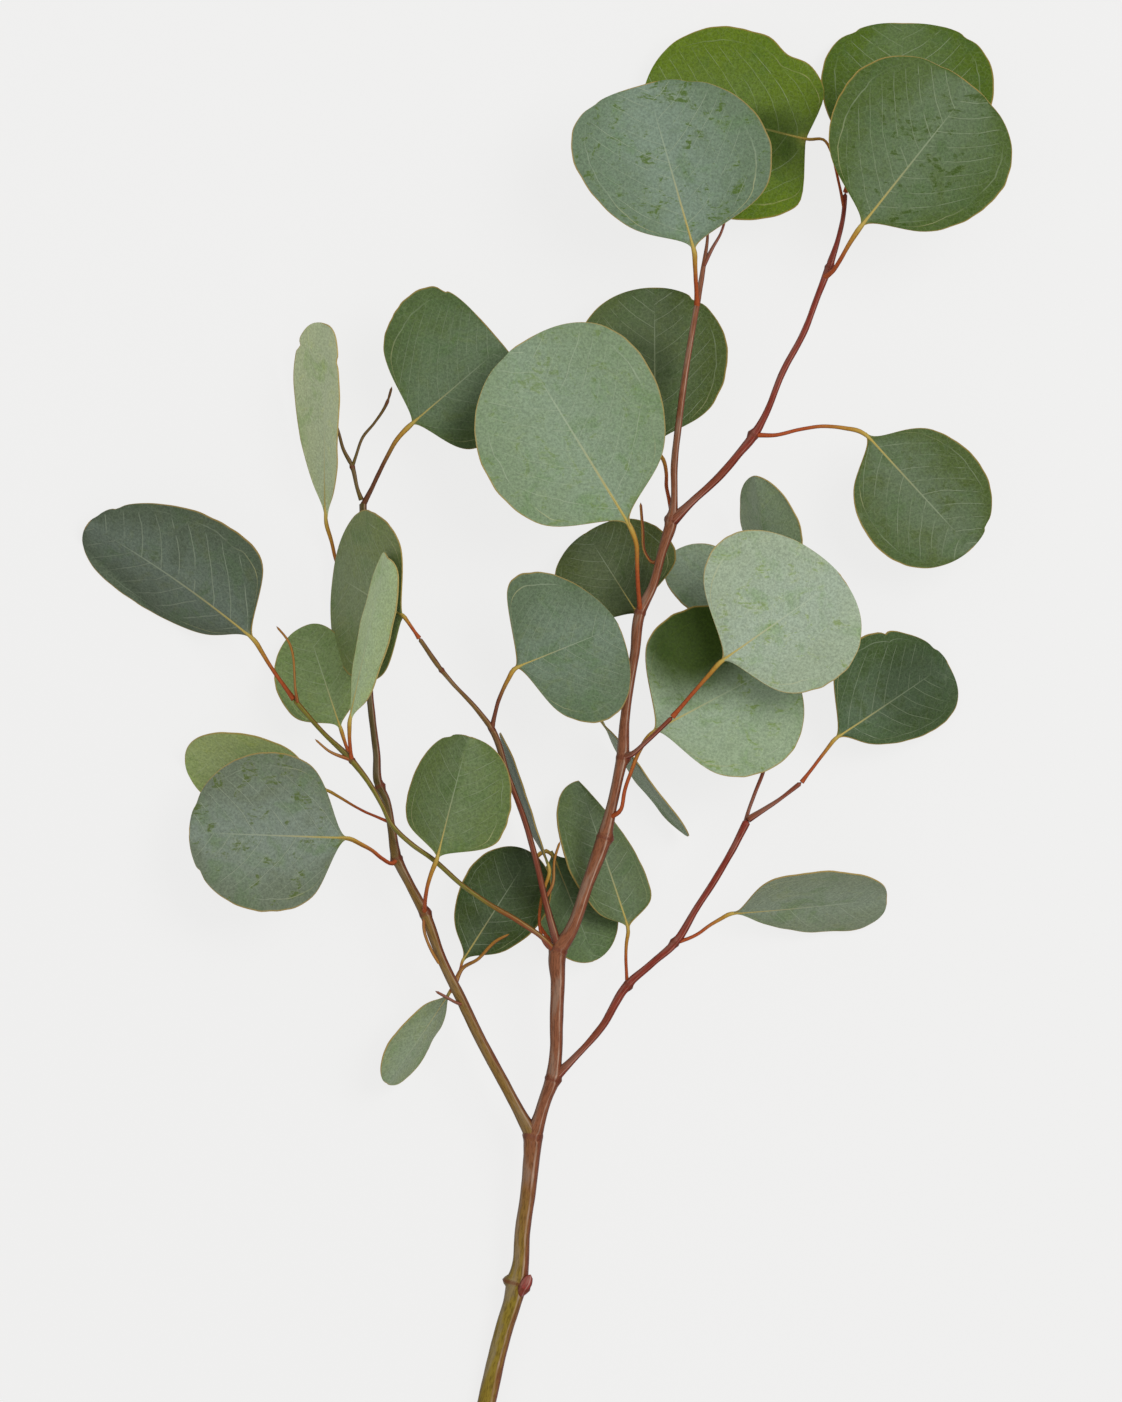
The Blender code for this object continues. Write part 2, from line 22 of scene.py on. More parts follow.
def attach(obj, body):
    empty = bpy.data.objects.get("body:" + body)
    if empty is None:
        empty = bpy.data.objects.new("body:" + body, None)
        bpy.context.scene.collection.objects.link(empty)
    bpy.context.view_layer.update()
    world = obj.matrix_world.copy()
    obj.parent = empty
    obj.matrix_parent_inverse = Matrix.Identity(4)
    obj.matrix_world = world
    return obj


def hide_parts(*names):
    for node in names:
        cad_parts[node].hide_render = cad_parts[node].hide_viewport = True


bl_info = {
    "name": "Eucalyptus branch",
    "version": (1, 0, 0),
    "blender": (4, 5, 0),
    "location": "View3D > Sidebar > Eucalyptus",
    "description": "Builds the wood, the leaves and the stage of a cut eucalyptus branch",
    "category": "Add Mesh",
}

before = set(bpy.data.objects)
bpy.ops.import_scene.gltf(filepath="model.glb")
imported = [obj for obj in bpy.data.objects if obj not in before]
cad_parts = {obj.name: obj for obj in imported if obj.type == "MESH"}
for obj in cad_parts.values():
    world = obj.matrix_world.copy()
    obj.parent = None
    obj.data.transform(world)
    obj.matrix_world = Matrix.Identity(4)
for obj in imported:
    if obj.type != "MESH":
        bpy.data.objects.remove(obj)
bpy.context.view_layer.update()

MM = 0.001
ORIGIN = Vector((0.2, -0.5, 0.0))   # where the tables' own zero lies in the part's frame
MERGE = 0.00001                     # vertices closer than this become one, in metres
FLOOR_GAP = 0.02                    # the least height of anything above the floor
ROUTE_STEP = 0.5                    # distance between the samples on a route
CLOSED_TIP = 0.04                   # the part of its radius that a tube keeps at its very tip
NO_COLLAR = ("main_stem", "node_bud")

RING_REACH = 0.5                    # half the width of a node's ring
GROOVE = 0.7                        # depth of the groove past a ring, for each unit of the ring
GROOVE_GAP = 1.1                    # from the ring to that groove
RING_TINT = 0.6                     # how much the ring lengthens the flat attribute
TINT_REACH = 0.8
SCAR_LENGTH = 1.6
SCAR_WIDTH = 2.2

STALK_SIDES = 10
STALK_SHAPE = ((0, 1.25), (0.2, 0.9), (0.4, 0.85), (0.6, 0.85), (0.8, 0.95), (0.97, 1.05))
MIDRIB_SHAPE = ((0.07, 0.6), (0.2, 0.38), (0.4, 0.25), (0.65, 0.16), (0.96, 0.06))
DROOP = 0.03                        # how far a blade's tip bends down, as a part of its length
BASE_WIDTH = 0.3                    # half width of a blade where it meets its stalk
SWELL = 2.2                         # a blade's long waves, for each unit of its wave
RIPPLE = 1.2                        # and its short ones, at the margins
CALM_TIP = 40                       # the power with which the waves die out at the tip
SHARP = math.radians(50)            # edges sharper than this are not smoothed


@dataclass
class Shoot:
    """One length of wood: its bark and its points (x, y, z, radius) from its root."""

    name: str
    bark: str
    points: list


@dataclass
class Leaf:
    """One leaf: its colour, its stalk's points from the parent to the base, and its blade.

    heading turns from +X towards +Y, pitch lifts the tip, and roll lifts the left side.
    left and right are the greatest half widths. fold lifts both margins by that much for
    each unit of width, and bend carries the tip to the left by that part of the length.
    The width rises as s ** shoulder from the base and closes as (1 - s) ** crown at the
    tip. left_form and right_form give one side its own shoulder and crown. neck is the part
    of the length over which it widens from its stalk, and lobe carries the base's margins
    back past the stalk. radius is the stalk's. nicks are (side, place, depth, width), with
    side 1 for the left and -1 for the right. shade is a painted shade (along, across, radius,
    strength), in parts of the length, as the nicks' places and widths are: a darker, deeper
    green place, mostly where a leaf in front shades the blade, on some leaves also the
    blade's own deeper green.
    """

    name: str
    colour: tuple
    stalk: list
    heading: float
    pitch: float
    roll: float
    length: float
    left: float
    right: float
    fold: float = 0.08
    bend: float = 0.0
    shoulder: float = 0.65
    crown: float = 0.5
    neck: float = 0.12
    lobe: float = 0.0
    radius: float = 0.65
    left_form: tuple = ()
    right_form: tuple = ()
    nicks: tuple = ()
    shade: tuple = (0.5, 0.0, 0.3, 0.0)
    bloom: float = 0.5
    rubbed: float = 0.2
    stalk_colour: tuple = (0.34, 0.07, 0.018)


SHOOTS = [
    Shoot("main_stem", "main", [
        (-23.5, -230.5, 3.0, 3.0), (-18.5, -211, 4.2, 3.0), (-15.5, -197.5, 5.4, 2.9),
        (-13, -188, 6.5, 2.9), (-10.5, -180, 7.5, 3.0), (-9, -173.5, 8.4, 3.4),
        (-8, -168.5, 9.0, 2.8), (-7.3, -157.5, 10.6, 2.5), (-5.5, -145, 12.6, 2.5),
        (-4.3, -133, 14.8, 2.7), (-3.6, -126, 16.1, 3.0), (-2.2, -121.5, 16.8, 2.3),
        (0.2, -114, 17.8, 2.1), (2.5, -107.5, 18.8, 2.45), (3.4, -100.5, 19.6, 2.1),
        (3.7, -87.5, 21, 2.2), (4.1, -77, 22, 2.3), (4.5, -66, 23, 2.8),
        (7.5, -61.5, 23.4, 2.3), (13.5, -45.5, 24.4, 2.0), (19, -30, 25.2, 2.4),
        (20.5, -24, 25.5, 1.9), (23.5, -10.5, 26.1, 1.75), (24.7, -4.5, 26.4, 2.0),
        (25.5, 7, 26.8, 1.6), (27.2, 20, 27.2, 1.55), (28.6, 28, 27.4, 1.55),
        (30.5, 42, 27.8, 1.8), (34.4, 50, 28, 1.45), (37.4, 61, 28.2, 1.45),
        (40.6, 71.5, 28.4, 1.85), (41.2, 76, 28.5, 1.25), (41.3, 88.5, 28.8, 1.15),
        (42.8, 102.5, 29.2, 1.1), (45, 119, 29.6, 1.0), (46.8, 130, 29.9, 0.95),
        (48.6, 140, 30.2, 0.95), (50.9, 154, 30.6, 0.7), (51.8, 160, 30.8, 0.5),
        (52, 166, 31, 0.4)]),
    Shoot("node_bud", "bud", [
        (-7.9, -177.4, 9.4, 1.2), (-6.9, -175.4, 10.8, 2.0), (-5.7, -173, 11.4, 1.8),
        (-4.6, -170.9, 11.8, 0.8)]),
    Shoot("left_branch", "left", [
        (-3.8, -126.5, 16.2, 2.1), (-9, -117, 17.3, 1.85), (-13.5, -108.5, 18, 1.8),
        (-21, -94.5, 19, 1.75), (-26, -84, 19.6, 1.75), (-33, -69.5, 20.4, 1.6),
        (-38.6, -54.5, 21.2, 1.75), (-43.5, -45, 21.6, 1.5), (-47.4, -37, 22, 1.7),
        (-49.2, -27, 22, 1.35), (-51.2, -17.5, 21.6, 1.3), (-53.1, -14, 21.4, 1.45),
        (-54, -3.5, 21, 1.2), (-55.7, 10.5, 20.2, 1.15), (-57.2, 30, 19, 1.15),
        (-58, 50, 18.2, 1.1), (-58.4, 77.5, 18, 1.2)]),
    Shoot("left_top_twig", "dark", [
        (-58.9, 78, 18.6, 0.7), (-60, 81, 19.2, 0.65), (-61.8, 88.5, 19.4, 0.75),
        (-64.8, 94.5, 19.6, 0.55), (-66, 99, 19.6, 0.5), (-67.5, 103.5, 19.6, 0.45)]),
    Shoot("left_top_side_twig", "dark", [
        (-61.8, 88.5, 19.4, 0.5), (-60.6, 92, 20, 0.5), (-58.4, 98, 20.6, 0.5),
        (-54.7, 102.5, 21.6, 0.45), (-50.6, 109, 22.6, 0.5), (-49, 114.2, 23.2, 0.4)]),
    Shoot("crossing_shoot", "olive", [
        (3, -67, 23, 0.95), (1.3, -64.5, 24.6, 0.95), (-8.4, -57, 26, 0.85),
        (-17.3, -51.8, 27, 0.8), (-26, -45.8, 28.2, 0.8), (-36, -37, 29.4, 0.8),
        (-43, -32, 29.8, 0.8), (-49.3, -25.5, 29.8, 0.8), (-52, -20, 29.6, 0.75),
        (-55.4, -14, 29.2, 0.8), (-61.8, -5.5, 27.6, 1.0), (-70.7, 3, 24.4, 0.75),
        (-80.5, 14, 21.5, 0.85)]),
    Shoot("centre_left_shoot", "brown", [
        (4.2, -65.5, 23.2, 1.2), (0.5, -52, 25.4, 1.05), (-3, -37, 26.6, 0.95),
        (-6.6, -24.5, 27.8, 0.9), (-11.8, -10.5, 29.2, 0.9), (-17, 4.5, 31, 1.05),
        (-21.5, 10.5, 33, 0.8), (-30.2, 20, 38, 0.7), (-33, 23.4, 40.4, 0.8),
        (-40, 33.5, 46.8, 0.7)]),
    Shoot("right_branch", "red", [
        (3.3, -107, 19, 1.5), (7.4, -103, 19.6, 1.3), (18.2, -91, 20.2, 1.2),
        (26.4, -77.6, 20.4, 1.4), (34.6, -70.4, 20.4, 1.15), (41.8, -64, 20.2, 1.35),
        (48.4, -53.2, 20.2, 1.1), (54, -44.6, 20.4, 1.1), (60.3, -33.8, 20.8, 1.1),
        (65, -24.6, 21, 1.3)]),
    Shoot("right_tip_twig", "red", [
        (65, -24.6, 21, 0.9), (75.5, -17.8, 21.6, 0.65), (82.2, -12.6, 21.8, 0.8)]),
    Shoot("right_back_twig", "red", [
        (64.2, -26, 20.9, 0.7), (65.2, -22, 17.6, 0.6), (67, -17, 17.4, 0.6),
        (70, -9.3, 18.2, 0.6), (72, -2, 18, 0.55), (73.6, 14, 17.8, 0.55),
        (70.4, 39.4, 17, 0.55)]),
    Shoot("right_front_twig", "red", [
        (24.7, -4.5, 26.4, 1.1), (27.6, -3.6, 29.2, 0.95), (33, 1, 32.4, 0.75),
        (40.7, 8.4, 36, 0.7)]),
    Shoot("crown_right_shoot", "red", [
        (40.6, 71, 28.4, 1.6), (45.6, 75.8, 28.9, 1.35), (57.2, 86.8, 29.6, 1.3),
        (61.9, 92.4, 29.8, 1.25), (66.8, 98.4, 30, 1.45), (69.5, 103, 30.2, 1.15),
        (76.2, 119, 30.8, 1.05), (82.7, 131.2, 31, 1.05), (87.4, 143.5, 31.2, 1.0),
        (90.7, 152, 31.2, 1.2), (93.5, 160.5, 30.8, 0.8), (95.4, 169, 29.8, 0.75),
        (96, 176, 28.6, 0.7)]),
    Shoot("crown_tip_twig", "red", [
        (50.6, 152.2, 30.6, 0.55), (53.4, 158, 31.2, 0.55), (56, 162.5, 31.4, 0.45),
        (58, 168.5, 31.4, 0.4)]),
    Shoot("low_left_spur", "ochre", [
        (-29.5, -79.5, 19.9, 0.9), (-28.4, -76, 16, 0.85), (-27, -73, 15.8, 0.7),
        (-21.5, -69.3, 19.6, 0.55), (-15.5, -63.3, 21.6, 0.5), (-11.4, -61.2, 22, 0.35)]),
    Shoot("left_branch_twiglet", "red", [
        (-26, -84, 19.6, 0.6), (-28.4, -83.2, 22.2, 0.5), (-31.6, -81.4, 23.4, 0.5),
        (-35.2, -79.4, 23.2, 0.4)]),
    Shoot("pressed_stalk", "ochre", [
        (-38.6, -54.5, 21.2, 0.55), (-38.8, -59.5, 22.8, 0.5), (-36.6, -66, 22.6, 0.5),
        (-33.7, -71.2, 22.6, 0.45)]),
    Shoot("far_left_twiglet", "ochre", [
        (-79.2, 12.6, 21.9, 0.5), (-79.8, 16.5, 24, 0.45), (-82.4, 33, 25, 0.4),
        (-86, 37.4, 25, 0.35)]),
    Shoot("cluster_twiglet", "ochre", [
        (-61.8, -5.5, 27.6, 0.55), (-69, -2.6, 28.2, 0.45), (-73.6, 1.3, 28.2, 0.3)]),
    Shoot("upper_bare_stalk", "ochre", [
        (36.8, 58.6, 28.2, 0.6), (34.4, 57.8, 26, 0.55), (32, 61, 24.6, 0.5),
        (31.3, 68, 24.4, 0.5), (30.6, 77, 24.4, 0.45)]),
    Shoot("centre_bare_stalk", "ochre", [
        (0, -50, 25.5, 0.55), (2.4, -45.4, 22.6, 0.5), (3.1, -37, 21.8, 0.45),
        (4.8, -31.5, 21.8, 0.4)]),
]

# The knobs that fallen leaves left: the swollen node's number, the turn round the shoot in
# degrees from its right side, and the height.
SCARS = {
    "main_stem": ((0, 165, 1.3), (1, 165, 0.7), (2, 20, 0.5), (3, 200, 0.5), (4, 20, 0.7),
                  (5, 10, 0.8), (7, 170, 0.6)),
    "left_branch": ((0, 20, 0.5), (1, 160, 0.5), (2, 10, 0.5)),
    "right_branch": ((0, 30, 0.5), (1, 190, 0.4)),
    "crown_right_shoot": ((0, 200, 0.6), (1, 20, 0.5)),
}

LEAVES = [
    Leaf("crown_left_front", (0.116, 0.166, 0.10),
         [(48.6, 140, 30.2), (48, 149.5, 37), (47.6, 156.5, 41)],
         106, 4, 0, 55.5, 29, 32.5, radius=0.8, left_form=(0.7, 0.3), right_form=(0.5, 0.5),
         nicks=((1, 0.965, 1.4, 0.014), (-1, 0.95, 1.6, 0.02)), bloom=0.75, rubbed=0.9),
    Leaf("crown_left_back", (0.11, 0.17, 0.012),
         [(95.6, 171, 29.6), (92.3, 186, 27), (90.2, 192.6, 25), (83.6, 193.4, 22)],
         165, -14, 0, 56.5, 31, 29.3, neck=0.03, lobe=0.45, radius=0.5, left_form=(0.32, 0.42),
         right_form=(0.42, 0.42), nicks=((-1, 0.27, 2.2, 0.06),), bloom=0.2,
         shade=(0.22, 0.04, 0.26, 0.65)),
    Leaf("crown_right_front", (0.063, 0.101, 0.021),
         [(89.4, 148.8, 31.2), (91.6, 150.4, 34.5), (94, 153.8, 38), (97, 159.2, 41),
          (100.2, 164, 42)],
         51.5, 6, 0, 57.5, 31.7, 27.8, radius=0.85, left_form=(0.62, 0.42),
         right_form=(0.72, 0.45), nicks=((1, 0.975, 1.8, 0.012), (-1, 0.985, 1.6, 0.01)),
         bloom=0.5, rubbed=0.8),
    Leaf("crown_right_back", (0.063, 0.107, 0.008),
         [(96, 176, 28.6), (98.5, 181.5, 27.4), (106, 181.5, 26), (114.3, 179, 24)],
         89, -24, 0, 59, 26, 29.5, crown=0.42, nicks=((1, 0.93, 1.4, 0.02), (-1, 0.9, 1.0, 0.02)),
         bloom=0.35, shade=(0.25, -0.1, 0.45, 0.45)),
    Leaf("centre_top_back", (0.064, 0.092, 0.022),
         [(40.6, 74, 28.4), (38.9, 82, 24), (38.3, 90, 20.4), (35.2, 94.6, 19)],
         90, -8, 0, 52.5, 25, 23.3, radius=0.7, nicks=((-1, 0.92, 1.6, 0.02),), bloom=0.3,
         shade=(0.5, 0.12, 0.32, 0.5)),
    Leaf("centre_big_front", (0.175, 0.237, 0.137),
         [(30.5, 42, 27.8), (29.8, 48.6, 33.4), (29.4, 56.4, 37), (29.1, 63.6, 39),
          (27.2, 69, 40)],
         121.6, 5, 0, 68, 30.5, 31.6, radius=0.8, left_form=(0.58, 0.52),
         right_form=(0.62, 0.38), nicks=((1, 0.985, 1.4, 0.012),), bloom=0.5, rubbed=0.5),
    Leaf("upper_left", (0.079, 0.121, 0.039),
         [(-58.3, 76.4, 17.8), (-54.9, 83, 19.6), (-51, 91, 21), (-47, 97.8, 21.8),
          (-43, 102, 22)],
         40, 18, 0, 40.5, 31.5, 21.5, shoulder=0.42, crown=0.33, radius=0.8,
         left_form=(0.42, 0.2), nicks=((1, 0.93, 1.5, 0.016),), shade=(0.35, -0.4, 0.35, 0.4),
         stalk_colour=(0.12, 0.045, 0.02)),
    Leaf("narrow_left", (0.42, 0.48, 0.27),
         [(-58, 48, 18.2), (-62, 50, 11), (-66.2, 55.6, 5.6), (-68, 61, 4.6),
          (-69.2, 66.5, 5.6), (-70.7, 71.4, 8)],
         90.5, 18, -62, 65.3, 18.6, 12.5, fold=0.1, left_form=(1.0, 0.43),
         right_form=(0.75, 0.4), nicks=((1, 0.84, 1.8, 0.02), (-1, 0.85, 1.6, 0.02))),
    Leaf("right_mid", (0.065, 0.096, 0.024),
         [(66.8, 98.4, 30), (70.5, 98, 30.8), (80, 99.9, 31.2), (89.4, 101.2, 30.8),
          (97, 100.4, 29.4), (102.4, 99, 28)],
         -47, -8, 0, 51, 20.5, 22, radius=0.7, nicks=((1, 0.955, 1.4, 0.014),), rubbed=0.5),
    Leaf("left_far", (0.078, 0.102, 0.064),
         [(-80.5, 14, 21.5), (-87, 23, 19.4), (-93.2, 33, 17.5)],
         140, -3, -37, 66, 20, 26, fold=-0.19, bend=0.14, radius=0.75, left_form=(0.72, 0.46),
         right_form=(0.32, 0.53), nicks=((-1, 0.93, 1.2, 0.016), (-1, 0.985, 1.0, 0.008))),
    Leaf("left_dark_tall", (0.15, 0.192, 0.062),
         [(-40, 33.5, 46.8), (-44.8, 40.4, 50)],
         150, -54, -26, 48, 28, 26.5, fold=0.0, shoulder=0.5,
         crown=0.42, lobe=0.3),
    Leaf("left_small_front", (0.37, 0.465, 0.235),
         [(-61.8, -5.5, 27.6), (-62.4, 0.5, 31), (-62.4, 6.5, 33.5)],
         78, 20, -62, 57, 12.5, 10.5, fold=-0.19, radius=0.7, left_form=(1.0, 0.31),
         right_form=(0.6, 0.36)),
    Leaf("left_small_back", (0.152, 0.21, 0.074),
         [(-61.8, -5.5, 27.6), (-63.4, -1.8, 24), (-65.4, 4.4, 21)],
         109, -20, -8, 38, 15.5, 10.5, shoulder=0.55, bloom=0.2),
    Leaf("left_blue", (0.13, 0.158, 0.105),
         [(-47.4, -37, 22), (-49.2, -38.6, 25.4), (-55.5, -34.2, 28), (-62.7, -30.4, 28.6)],
         178, -4, 0, 51.5, 24.3, 26.5, shoulder=0.5, radius=0.75,
         nicks=((1, 0.92, 1.0, 0.016), (-1, 0.96, 1.2, 0.016)), bloom=0.8, rubbed=0.8),
    Leaf("left_green_back", (0.28, 0.34, 0.125),
         [(-49.5, -25.5, 22), (-60, -21, 17), (-65.4, -17.8, 15), (-70.4, -15, 14)],
         169, -12, -38, 48, 16, 16.5, radius=0.5, bloom=0.2),
    Leaf("mid_left_green", (0.104, 0.147, 0.044),
         [(-38.6, -54.5, 21.2), (-38.4, -51, 27), (-37.2, -44.5, 32.6), (-35.4, -39.2, 34.2),
          (-34.4, -37, 34.4)],
         76, 5, -20, 40.5, 17, 18, fold=-0.3, shoulder=0.36, crown=0.42, radius=0.75,
         nicks=((1, 0.955, 1.0, 0.016),), bloom=0.3),
    Leaf("centre_left", (0.105, 0.148, 0.084),
         [(-17, 4.5, 31), (-15, 13, 32), (-12.2, 19.5, 32.4), (-9.6, 24, 32.6)],
         22, 8, 0, 36, 26.8, 26.2, radius=0.75, left_form=(0.38, 0.66),
         right_form=(0.62, 0.42), stalk_colour=(0.15, 0.05, 0.025)),
    Leaf("centre_back_dark", (0.077, 0.1, 0.031),
         [(31.2, 44, 27.8), (31, 40.6, 24), (29.6, 41.4, 21)],
         122, -25, 0, 34.5, 20, 21.5, shoulder=0.4, bloom=0.3, shade=(0.1, -0.1, 0.5, 0.5)),
    Leaf("back_blue_small", (0.21, 0.27, 0.177),
         [(71, 36, 17), (67.6, 37.6, 14.8), (64, 39.2, 13.6)],
         137, -5, 25, 32, 11, 13, radius=0.5),
    Leaf("back_upper", (0.205, 0.268, 0.15),
         [(70.4, 39.4, 17), (72, 44, 17.4), (73.6, 49, 18)],
         101.6, 10, -58, 37.5, 17, 16, fold=-0.2, crown=0.62, radius=0.5),
    Leaf("right_pale_front", (0.28, 0.34, 0.235),
         [(40.7, 8.4, 36), (49.8, 19, 39.6), (56, 26, 41)],
         35, 5, 0, 47, 31.3, 25.4, radius=0.75, left_form=(0.62, 0.62),
         right_form=(0.55, 0.42), bloom=0.7, rubbed=0.6),
    Leaf("right_green_mid", (0.24, 0.31, 0.19),
         [(20.5, -24, 25.5), (22.8, -24.4, 28.2), (24.9, -17, 28.4), (27.9, -8.2, 27.8),
          (30.7, -1.6, 27.2), (34.4, 3.6, 27)],
         28, -2, 0, 49.5, 29.8, 28.3, shoulder=0.42, crown=0.45, radius=0.75,
         right_form=(0.6, 0.45), rubbed=0.7, shade=(0.5, 0.42, 0.53, 1.0)),
    Leaf("right_far", (0.048, 0.079, 0.026),
         [(82.2, -12.6, 21.8), (89.2, -3.5, 20.8), (93, 1.4, 20)],
         33, -20, 18, 47.4, 24.5, 16, radius=0.65, left_form=(0.45, 0.62),
         right_form=(0.85, 0.35), nicks=((1, 0.66, 1.0, 0.02), (1, 0.95, 1.0, 0.014)),
         bloom=0.35, rubbed=0.4, shade=(0.7, 0.0, 0.45, 0.42)),
    Leaf("right_low", (0.17, 0.206, 0.126),
         [(41.8, -64, 20.2), (47.7, -62, 19.6), (53.3, -58.2, 18.4), (59.6, -54.7, 17)],
         4, -3, 56, 50.5, 22.5, 15, radius=0.65, left_form=(0.42, 0.4),
         right_form=(1.0, 0.34)),
    Leaf("edge_right", (0.14, 0.19, 0.10),
         [(26.5, 15, 27), (22, 15.4, 21), (17.2, 13.5, 16.5), (16.4, 9.2, 15)],
         -54.7, -8, 80, 49.7, 9.5, 11, fold=0.0),
    Leaf("twisted_centre", (0.084, 0.12, 0.045),
         [(26.4, -77.6, 20.4), (26, -71, 15.5), (26.1, -65, 12.6), (26.8, -59.8, 12)],
         108, -4, 24, 50.5, 14.2, 11, fold=0.15, neck=0.08, radius=0.6,
         left_form=(0.55, 0.42), right_form=(0.35, 1.0), bloom=0.3),
    Leaf("lower_dark_back", (0.085, 0.133, 0.045),
         [(4.5, -66, 23), (0.5, -62, 17), (-3.5, -55, 12), (-5, -46, 10), (-4.4, -39, 9),
          (-1.6, -35.4, 8.4), (2, -34.8, 8)],
         -68, 0, -12, 38, 13, 12.5, bloom=0.2),
    Leaf("edge_centre", (0.05, 0.075, 0.03),
         [(4.4, -68, 22.8), (-1.2, -62.5, 21.4), (-1.6, -55, 21.6), (-0.8, -48, 22),
          (1.2, -43, 22.4), (1.5, -40, 22.4)],
         112, -7, -80, 46.4, 11, 9, fold=0.0, radius=0.6),
    Leaf("lower_left_dark", (0.04, 0.064, 0.013),
         [(-27.6, -74.2, 15.8), (-26.6, -70.2, 15)],
         57.5, 3, 0, 41.5, 14, 14.3, shoulder=0.8, radius=0.5, bloom=0.25,
         shade=(0.9, -0.1, 0.45, 0.5)),
    Leaf("lower_left_hanging", (0.18, 0.225, 0.12),
         [(-28.4, -76, 16), (-29.4, -77.8, 13), (-30.6, -80, 12)],
         -123, 3, -58, 35.7, 13, 9.8, fold=-0.2, crown=0.38, radius=0.5),
]


# ---------------------------------------------------------------- routes and shapes


def smooth_route(points):
    """Closely spaced samples (position and radius) on a smooth curve through the points."""
    knots = [Vector(point) for point in points]
    spans = [(knots[i + 1].xyz - knots[i].xyz).length for i in range(len(knots) - 1)]
    slopes = [(knots[i + 1] - knots[i]) / spans[i] for i in range(len(spans))]
    tangents = [slopes[0]]
    for i in range(1, len(spans)):
        weight = spans[i - 1] / (spans[i - 1] + spans[i])
        tangents.append(slopes[i - 1] * (1 - weight) + slopes[i] * weight)
    tangents.append(slopes[-1])
    samples = [knots[0]]
    for i, span in enumerate(spans):
        count = max(1, math.ceil(span / ROUTE_STEP))
        for k in range(1, count + 1):
            t = k / count
            start = knots[i] * (2 * t ** 3 - 3 * t ** 2 + 1)
            leave = tangents[i] * span * (t ** 3 - 2 * t ** 2 + t)
            end = knots[i + 1] * (3 * t ** 2 - 2 * t ** 3)
            arrive = tangents[i + 1] * span * (t ** 3 - t ** 2)
            samples.append(start + leave + end + arrive)
    return samples


class Route:
    """A smooth route with the distance along it and a sideways direction that never twists."""

    def __init__(self, points):
        self.samples = smooth_route(points)
        self.along = [0.0]
        for here, ahead in zip(self.samples, self.samples[1:]):
            self.along.append(self.along[-1] + (ahead.xyz - here.xyz).length)
        self.length = self.along[-1]
        last = len(self.samples) - 1
        ways = []
        for i in range(len(self.samples)):
            way = self.samples[min(i + 1, last)].xyz - self.samples[max(i - 1, 0)].xyz
            ways.append(way.normalized())
        side = ways[0].cross(Vector((0, 0, 1))).normalized()
        self.sides = []
        self.ups = []
        for i, way in enumerate(ways):
            if i:
                side = ways[i - 1].rotation_difference(way) @ side
            self.sides.append(side.copy())
            self.ups.append(side.cross(way).normalized())
        self.place = 0

    def at(self, along):
        """The centre, radius, side and up directions at a distance along the route."""
        along = min(max(along, 0), self.length)
        if self.along[self.place] > along:
            self.place = 0
        while self.place < len(self.along) - 2 and self.along[self.place + 1] < along:
            self.place += 1
        i = self.place
        t = (along - self.along[i]) / (self.along[i + 1] - self.along[i])
        sample = self.samples[i].lerp(self.samples[i + 1], t)
        side = self.sides[i].lerp(self.sides[i + 1], t).normalized()
        up = self.ups[i].lerp(self.ups[i + 1], t).normalized()
        return sample.xyz, sample.w, side, up


def shaped_grid(name, rows, columns, place):
    """A grid primitive whose vertices are moved to where place(x, y) says, from 0 to 1."""
    bpy.ops.object.select_all(action="DESELECT")
    bpy.ops.mesh.primitive_grid_add(x_subdivisions=rows, y_subdivisions=columns, size=2)
    piece = bpy.context.object
    piece.name = name
    piece.data.name = name
    piece.data.attributes.new("flat", "FLOAT_VECTOR", "POINT")
    bpy.ops.object.mode_set(mode="EDIT")
    form = bmesh.from_edit_mesh(piece.data)
    flat = form.verts.layers.float_vector["flat"]
    for vertex in sorted(form.verts, key=lambda v: (v.co.x, v.co.y)):
        spot, pattern = place((vertex.co.x + 1) / 2, (vertex.co.y + 1) / 2)
        vertex.co = (spot + ORIGIN) * MM
        vertex[flat] = pattern
    bmesh.update_edit_mesh(piece.data)
    bpy.ops.mesh.select_all(action="SELECT")
    bpy.ops.mesh.remove_doubles(threshold=MERGE)
    bpy.ops.object.mode_set(mode="OBJECT")
    return piece


def tube(name, route, sides, step, pattern, relief):
    """A closed tube along a route, with a rounded tip."""
    rows = max(4, round(route.length / step))
    tip = route.at(route.length)[1]

    def place(x, y):
        along = x * route.length
        centre, radius, side, up = route.at(along)
        angle = math.tau * (y % 1)
        past = max(0.0, (along - route.length + tip) / tip)
        closing = max(CLOSED_TIP, math.sqrt(1 - min(past, 1) ** 2))
        radius = (radius + relief(along, angle)) * closing
        spot = centre + (side * math.cos(angle) + up * math.sin(angle)) * radius
        spot.z = max(spot.z, FLOOR_GAP)
        return spot, pattern(along, angle)

    piece = shaped_grid(name, rows, sides, place)
    bpy.ops.object.mode_set(mode="EDIT")
    bpy.ops.mesh.select_all(action="SELECT")
    bpy.ops.mesh.fill_holes(sides=0)
    bpy.ops.mesh.normals_make_consistent(inside=False)
    bpy.ops.object.mode_set(mode="OBJECT")
    return piece


def swelling_places(points, route):
    """How far along the route its swollen nodes are."""
    places = []
    for i in range(1, len(points) - 1):
        if points[i][3] > points[i - 1][3] and points[i][3] > points[i + 1][3]:
            spot = Vector(points[i][:3])
            gaps = [(sample.xyz - spot).length for sample in route.samples]
            places.append(route.along[gaps.index(min(gaps))])
    return places


